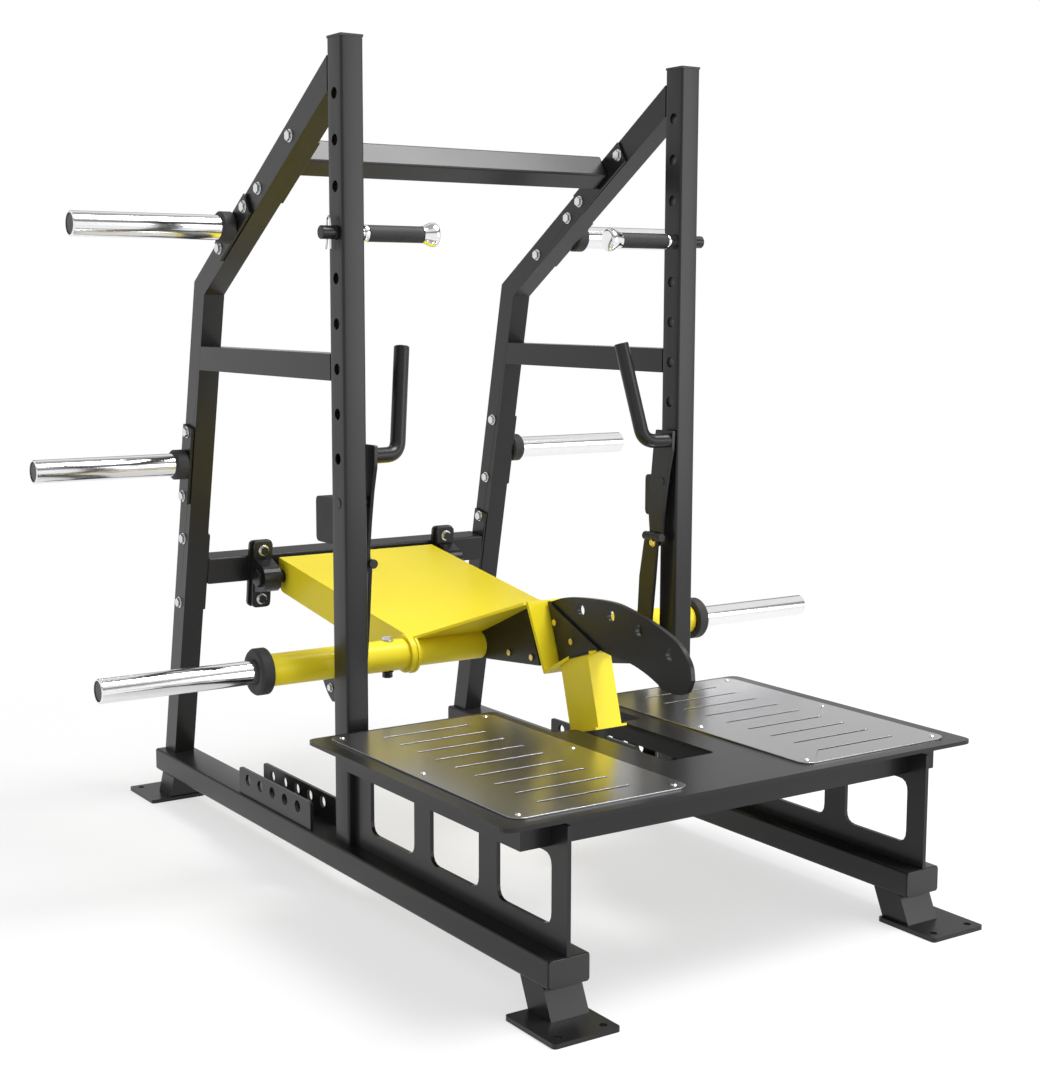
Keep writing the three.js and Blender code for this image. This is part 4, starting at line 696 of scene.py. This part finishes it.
# Bearings
def make_bearings():
    member = middle_of("rear_crossmember")
    for _, tag in SIDES:
        node = f"bearing_block_{tag}"
        dress(node, BLACK, bevel=0.0015)
        low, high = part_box(node)
        place = member + MEMBER_FRONT * BEARING_FACE - MEMBER_UP * PIVOT_DROP
        place.x = (low.x + high.x) / 2
        for end, end_tag in ((-1, "a"), (1, "b")):
            spot = place + MEMBER_UP * (end * PIVOT_BOLT_SPACING)
            bolt(f"bearing_bolt_{tag}{end_tag}", spot, MEMBER_FRONT, "frame")
    dress("pivot_shaft", BLACK, bevel=0.001)


# Arm
def make_arm():
    dress("arm_shell", YELLOW, bevel=0.0016)
    nose = dress("arm_nose", YELLOW, bevel=0.0012)
    paint(nose, BLACK, *BRACKET_FACES, least=0)
    for side, tag in SIDES:
        for i, (y, z) in enumerate(BRACKET_BOLTS):
            bolt(f"bracket_bolt_{tag}{i}", Vector((side * BRACKET_BOLT_FACE, y, z)), side * X, "arm",
                 BRACKET_BOLT_RADIUS, BRACKET_BOLT_HEIGHT, washer=False, material=BRASS)
    dress("drop_tube", YELLOW, bevel=0.002)
    dress("drop_bumper", WORN_RUBBER, bevel=0.003)
    make_fin()
    clamp = dress("fin_clamp", BLACK, bevel=0.0006)
    paint(clamp, BRASS, near=CLAMP_FACE, far=1, least=CLAMP_FACE + CLAMP_BOLT_RISE)
    make_cross_tube()


def make_cross_tube():
    """The arm's cross tube with its sleeves, flanges, lock bolts, load bars and collars."""
    middle = middle_of("load_sleeve_l")
    pipe = [(-SLEEVE_ROOT, 0), (-SLEEVE_ROOT, PIPE_RADIUS), (SLEEVE_ROOT, PIPE_RADIUS), (SLEEVE_ROOT, 0)]
    add_piece("cross_pipe", turned_mesh("pipe", pipe, middle, 1), YELLOW, "arm", ["cross_tube"])
    low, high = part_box("cross_tube")
    sleeve = ring_profile(SLEEVE_ROOT - SLEEVE_OVERLAP, high.x, SLEEVE_BORE, SLEEVE_RADIUS, SLEEVE_EDGE)
    flange = ring_profile(*FLANGE, PIPE_RADIUS, FLANGE_RADIUS, FLANGE_EDGE)
    for side, tag in SIDES:
        add_piece(f"sleeve_{tag}", turned_mesh("sleeve", sleeve, middle, side), YELLOW, "arm")
        add_piece(f"flange_{tag}", turned_mesh("flange", flange, middle, side), YELLOW, "arm")
        top = Vector((side * LOCK_BOLT_OFFSET, middle.y, middle.z + SLEEVE_RADIUS - LOCK_BOLT_SINK))
        foot = Vector((side * LOCK_BOLT_OFFSET, middle.y, middle.z - SLEEVE_RADIUS + LOCK_BOLT_SINK))
        bolt(f"lock_bolt_{tag}", top, Z, "arm")
        bolt(f"lock_nut_{tag}", foot, -Z, "arm", height=LOCK_NUT_HEIGHT, material=BLACK)
        _, radius = chrome_bar(f"load_bar_{tag}", f"load_plug_{tag}", f"load_sleeve_{tag}", "arm", side)
        low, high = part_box(f"load_collar_{tag}")
        x0, x1 = span_of(low, high)
        outer = (high.z - low.z) / 2
        run, fall = LOAD_COLLAR_SLOPE
        collar = [(x0, radius + FIT), (x0, outer - LOAD_COLLAR_EDGE), (x0 + LOAD_COLLAR_EDGE, outer),
                  (x1 - run, outer), (x1, outer - fall), (x1, radius + COLLAR_WALL),
                  (x1 - LOAD_COLLAR_LIP, radius + FIT)]
        add_piece(f"load_ring_{tag}", turned_mesh("ring", collar, middle, side), RUBBER, "arm",
                  [f"load_collar_{tag}"], bevel=0.001)


def spline(points, steps):
    """A smooth line through places in depth and height."""
    places = [Vector((0, *point)) for point in points]
    ends = [2 * places[0] - places[1], *places, 2 * places[-1] - places[-2]]
    line = []
    for i in range(1, len(ends) - 2):
        before, start, end, after = ends[i - 1:i + 3]
        for step in range(steps):
            t = step / steps
            curve = (2 * start + (end - before) * t + (2 * before - 5 * start + 4 * end - after) * t * t
                     + (3 * start - before - 3 * end + after) * t * t * t) / 2
            line.append((curve.y, curve.z))
    line.append((places[-1].y, places[-1].z))
    return line


def make_fin():
    """The belt's curved plate, with its four round holes."""
    _, half = span_of(*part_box("belt_fin"))

    def place(share):
        return FIN_FRONT + share[0] * FIN_LENGTH, FIN_FOOT + share[1] * FIN_HEIGHT

    outline = []
    for part in (FIN_TOP, FIN_TIP, FIN_UNDER):
        outline += spline([place(share) for share in part], FIN_STEPS)[:-1]
    outline += [place(FIN_UNDER[-1]), SADDLE_TIP, SADDLE_BEND, STRIP_FOOT]
    plate = across_x("fin", outline, -half, half)
    reach = half + OVERRUN
    hole = [(-reach, 0), (-reach, FIN_HOLE_RADIUS), (reach, FIN_HOLE_RADIUS), (reach, 0)]
    cutters = []
    for share in FIN_HOLES:
        cutters.append(turned_mesh("hole", hole, Vector((0, *place(share))), 1, FIN_HOLE_SEGMENTS))
    add_piece("fin", cut(plate, cutters), BLACK, "arm", ["belt_fin"], bevel=0.0012)


# Levers and stops
def from_pin(pin, outline):
    return [(pin.y + depth * MM, pin.z + height * MM) for depth, height in outline]


def hook_outline(pin, tube):
    """Down the shank's rear, along the flat jaw below the tube, round the heel and up the shank's front."""
    reach = (tube - pin).normalized()
    along = Vector((0, -reach.z, reach.y))
    jaw = tube + reach * (SLEEVE_RADIUS + JAW_CLEARANCE)
    mouth = [((jaw + along * run).y, (jaw + along * run).z) for run in JAW]
    start, end = HEEL_TURNS
    turns = [start + (end - start) * i / HEEL_STEPS for i in range(HEEL_STEPS + 1)] + [SHANK_TURN]
    heel = [(tube.y + HEEL_RADIUS * cos(turn), tube.z + HEEL_RADIUS * sin(turn)) for turn in turns]
    return from_pin(pin, SHANK_REAR) + mouth + heel + from_pin(pin, SHANK_FRONT)


def handle_path(side, pin):
    x, depth, height = HANDLE_ROOT
    root = Vector((side * x, pin.y + depth, pin.z + height))
    x, depth = HANDLE_CORNER
    corner = Vector((side * x, root.y + depth, root.z))
    x, depth, height = HANDLE_TIP
    tip = Vector((side * x, root.y + depth, root.z + height))
    start = corner + (root - corner).normalized() * HANDLE_BEND
    end = corner + (tip - corner).normalized() * HANDLE_BEND
    bend = []
    for i in range(HANDLE_STEPS + 1):
        share = i / HANDLE_STEPS
        bend.append(start.lerp(corner, share).lerp(corner.lerp(end, share), share))
    return [root, *bend, tip]


def make_levers():
    tube = middle_of("cross_tube")
    post_low, post_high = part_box("front_upright_r")
    pin = Vector((0, (post_low.y + post_high.y) / 2, LOWEST_HOLE))
    for side, tag in SIDES:
        body = f"lever_{tag}"
        hook = across_x("hook", hook_outline(pin, tube), side * HOOK_FACES[0], side * HOOK_FACES[1])
        add_piece(f"hook_{tag}", hook, BLACK, body, [f"release_lever_{tag}"], bevel=0.0014)
        outline = rounded(from_pin(pin, BLADE), BLADE_CORNER, steps=3)
        blade = across_x("blade", outline, side * BLADE_FACES[0], side * BLADE_FACES[1])
        add_piece(f"blade_{tag}", blade, BLACK, body, bevel=0.001)
        handle = swept_mesh("handle", handle_path(side, pin), HANDLE_RADIUS)
        add_piece(f"handle_{tag}", handle, BLACK, body, bevel=0.0025)
        middle = side * sum(HOOK_FACES) / 2
        barrel = [Vector((middle, pin.y + depth * MM, pin.z - BARREL_DROP)) for depth in BARREL_DEPTHS]
        add_piece(f"barrel_{tag}", swept_mesh("barrel", barrel, BARREL_RADIUS), BLACK, body, bevel=0.0015)
        joint = (pin.y + JOINT_BOLT[0], pin.z - JOINT_BOLT[1])
        for name, (y, z), outer, finish in (("joint", joint, BLADE_FACES[1], BRASS),
                                            ("hook", HOOK_BOLT, HOOK_FACES[1], ZINC)):
            for face, out in ((HOOK_FACES[0], -side), (outer, side)):
                bolt(f"{name}_bolt_{tag}{'ab'[out == side]}", Vector((side * face, y, z)), out * X, body,
                     LEVER_BOLT_RADIUS, LEVER_BOLT_HEIGHT, material=finish)
        dress(f"stop_block_{tag}", RUBBER, bevel=0.002)
        _, post_face = span_of(post_low, post_high)
        shaft = solid_profile(BLADE_FACES[0] - PIN_PROUD, post_face + PIN_PROUD, PIN_RADIUS, PIN_EDGE)
        add_piece(f"lever_shaft_{tag}", turned_mesh("shaft", shaft, pin, side), BLACK, "frame",
                  [f"lever_pin_{tag}"])


# Grips with a chromed knob, a rubber sleeve and a wire clip outside the upright
def make_grips():
    _, post = span_of(*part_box("front_upright_r"))
    for side, tag in SIDES:
        low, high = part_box(f"grip_sleeve_{tag}")
        centre = middle_of(f"grip_sleeve_{tag}")
        x0, x1 = span_of(low, high)
        flare = (high.z - low.z) / 2
        knob = [(x0, 0), *((x0 + depth, flare - drop) for depth, drop in KNOB), (x0 + KNOB_LENGTH, GRIP_BORE),
                (x0 + KNOB_SEAT, GRIP_BORE), (x0 + KNOB_SEAT, 0)]
        add_piece(f"knob_{tag}", turned_mesh("knob", knob, centre, side), CHROME, "frame")
        sleeve = ring_profile(x0 + GRIP_START, x1, GRIP_BORE, GRIP_RADIUS, GRIP_EDGE)
        add_piece(f"sleeve_grip_{tag}", turned_mesh("sleeve", sleeve, centre, side), RUBBER, "frame",
                  [f"grip_sleeve_{tag}"])
        _, end = span_of(*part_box(f"grip_bar_{tag}"))
        ring = x1 + GAP
        rod = [(x0 + ROD_START, 0), (x0 + ROD_START, ROD_RADIUS), (ring, ROD_RADIUS),
               *((ring + run, radius) for run, radius in ROD_RING), (post + GAP, ROD_NECK), (post + GAP, 0)]
        add_piece(f"grip_rod_{tag}", turned_mesh("rod", rod, centre, side), CHROME, "frame", [f"grip_bar_{tag}"])
        start, stop = GRIP_WASHER
        washer = solid_profile(post + start, post + stop, GRIP_WASHER_RADIUS, GRIP_WASHER_EDGE)
        add_piece(f"grip_washer_{tag}", turned_mesh("washer", washer, centre, side), BLACK, "frame")
        shank = solid_profile(post + GRIP_END_START, end, GRIP_END_RADIUS, GRIP_EDGE)
        add_piece(f"grip_end_{tag}", turned_mesh("end", shank, centre, side), BLACK, "frame")
        dress(f"grip_clip_{tag}", ZINC, bevel=0)


# Floor, light and camera
def calculate(tree, operation, first, second):
    node = tree.nodes.new("ShaderNodeMath")
    node.operation = operation
    tree.links.new(first, node.inputs[0])
    tree.links.new(second, node.inputs[1])
    return node.outputs[0]


def floor_material():
    """A pale floor that keeps soft shadows near the machine and runs out to the white background."""
    material, tree, shader = new_material("floor")
    pale = tint(tree, noise(tree, scale=0.6), (0.84, 0.84, 0.84), (0.86, 0.86, 0.86))
    tree.links.new(pale, shader.inputs["Base Color"])
    shader.inputs["Roughness"].default_value = 0.8
    place = tree.nodes.new("ShaderNodeNewGeometry")
    length = tree.nodes.new("ShaderNodeVectorMath")
    length.operation = "LENGTH"
    tree.links.new(place.outputs["Position"], length.inputs[0])
    fade = tree.nodes.new("ShaderNodeMapRange")
    fade.interpolation_type = "SMOOTHSTEP"
    fade.inputs["From Min"].default_value, fade.inputs["From Max"].default_value = FLOOR_FADE
    fade.inputs["To Min"].default_value, fade.inputs["To Max"].default_value = FLOOR_WHITE
    tree.links.new(length.outputs["Value"], fade.inputs["Value"])
    rays = tree.nodes.new("ShaderNodeLightPath").outputs
    direct = calculate(tree, "MAXIMUM", rays["Is Camera Ray"], rays["Is Glossy Ray"])
    direct = calculate(tree, "MAXIMUM", direct, rays["Is Transmission Ray"])
    seen = calculate(tree, "MULTIPLY", fade.outputs["Result"], direct)
    white = tree.nodes.new("ShaderNodeEmission")
    white.inputs["Color"].default_value = (1, 1, 1, 1)
    white.inputs["Strength"].default_value = 1
    mix = tree.nodes.new("ShaderNodeMixShader")
    tree.links.new(seen, mix.inputs[0])
    tree.links.new(shader.outputs["BSDF"], mix.inputs[1])
    tree.links.new(white.outputs["Emission"], mix.inputs[2])
    tree.links.new(mix.outputs[0], tree.nodes["Material Output"].inputs["Surface"])
    return material


def make_world():
    """A white studio up to a little over the horizon, with greyer bands above it."""
    world = bpy.data.worlds.new("studio")
    bpy.context.scene.world = world
    world.use_nodes = True
    tree = world.node_tree
    background = tree.nodes["Background"]
    place = tree.nodes.new("ShaderNodeTexCoord")
    split = tree.nodes.new("ShaderNodeSeparateXYZ")
    tree.links.new(place.outputs["Generated"], split.inputs[0])
    bands = tree.nodes.new("ShaderNodeValToRGB")
    for i, (where, level) in enumerate(STUDIO_BANDS):
        stop = bands.color_ramp.elements[i] if i < 2 else bands.color_ramp.elements.new(where)
        stop.position = where
        stop.color = (level, level, level, 1)
    tree.links.new(split.outputs["Z"], bands.inputs["Fac"])
    tree.links.new(bands.outputs["Color"], background.inputs["Color"])
    background.inputs["Strength"].default_value = 1


def area_light(name, place, size, power):
    light = bpy.data.lights.new(name, "AREA")
    light.size = size
    light.energy = power
    lamp = bpy.data.objects.new(name, light)
    lamp.location = place
    lamp.rotation_mode = "QUATERNION"
    lamp.rotation_quaternion = (LAMP_TARGET - Vector(place)).to_track_quat("-Z", "Y")
    bpy.context.collection.objects.link(lamp)


def make_studio():
    floor = bpy.data.meshes.new("floor")
    corners = [(x, y, 0) for x, y in rectangle(-FLOOR_REACH, FLOOR_REACH, -FLOOR_REACH, FLOOR_REACH)]
    floor.from_pydata(corners, [], [(0, 1, 2, 3)])
    floor.materials.append(floor_material())
    ground = bpy.data.objects.new("floor", floor)
    bpy.context.collection.objects.link(ground)
    make_world()
    for lamp in LAMPS:
        area_light(*lamp)


def make_camera():
    data = bpy.data.cameras.new("camera")
    data.sensor_width = SENSOR
    data.lens = FOCAL_PIXELS / PHOTO_LONG_SIDE * SENSOR
    camera = bpy.data.objects.new("camera", data)
    camera.location = CAMERA_PLACE
    flat = cos(CAMERA_PITCH)
    look = Vector((sin(CAMERA_YAW) * flat, cos(CAMERA_YAW) * flat, sin(CAMERA_PITCH)))
    aim = look.to_track_quat("-Z", "Y").to_matrix().to_4x4()
    camera.rotation_mode = "QUATERNION"
    camera.rotation_quaternion = (aim @ Matrix.Rotation(CAMERA_ROLL, 4, "Z")).to_quaternion()
    bpy.context.collection.objects.link(camera)
    bpy.context.scene.camera = camera


make_rails()
make_uprights()
make_members()
make_horns()
make_platform()
make_bearings()
make_arm()
make_levers()
make_grips()
make_studio()
make_camera()
bpy.context.scene.view_settings.view_transform = "Standard"
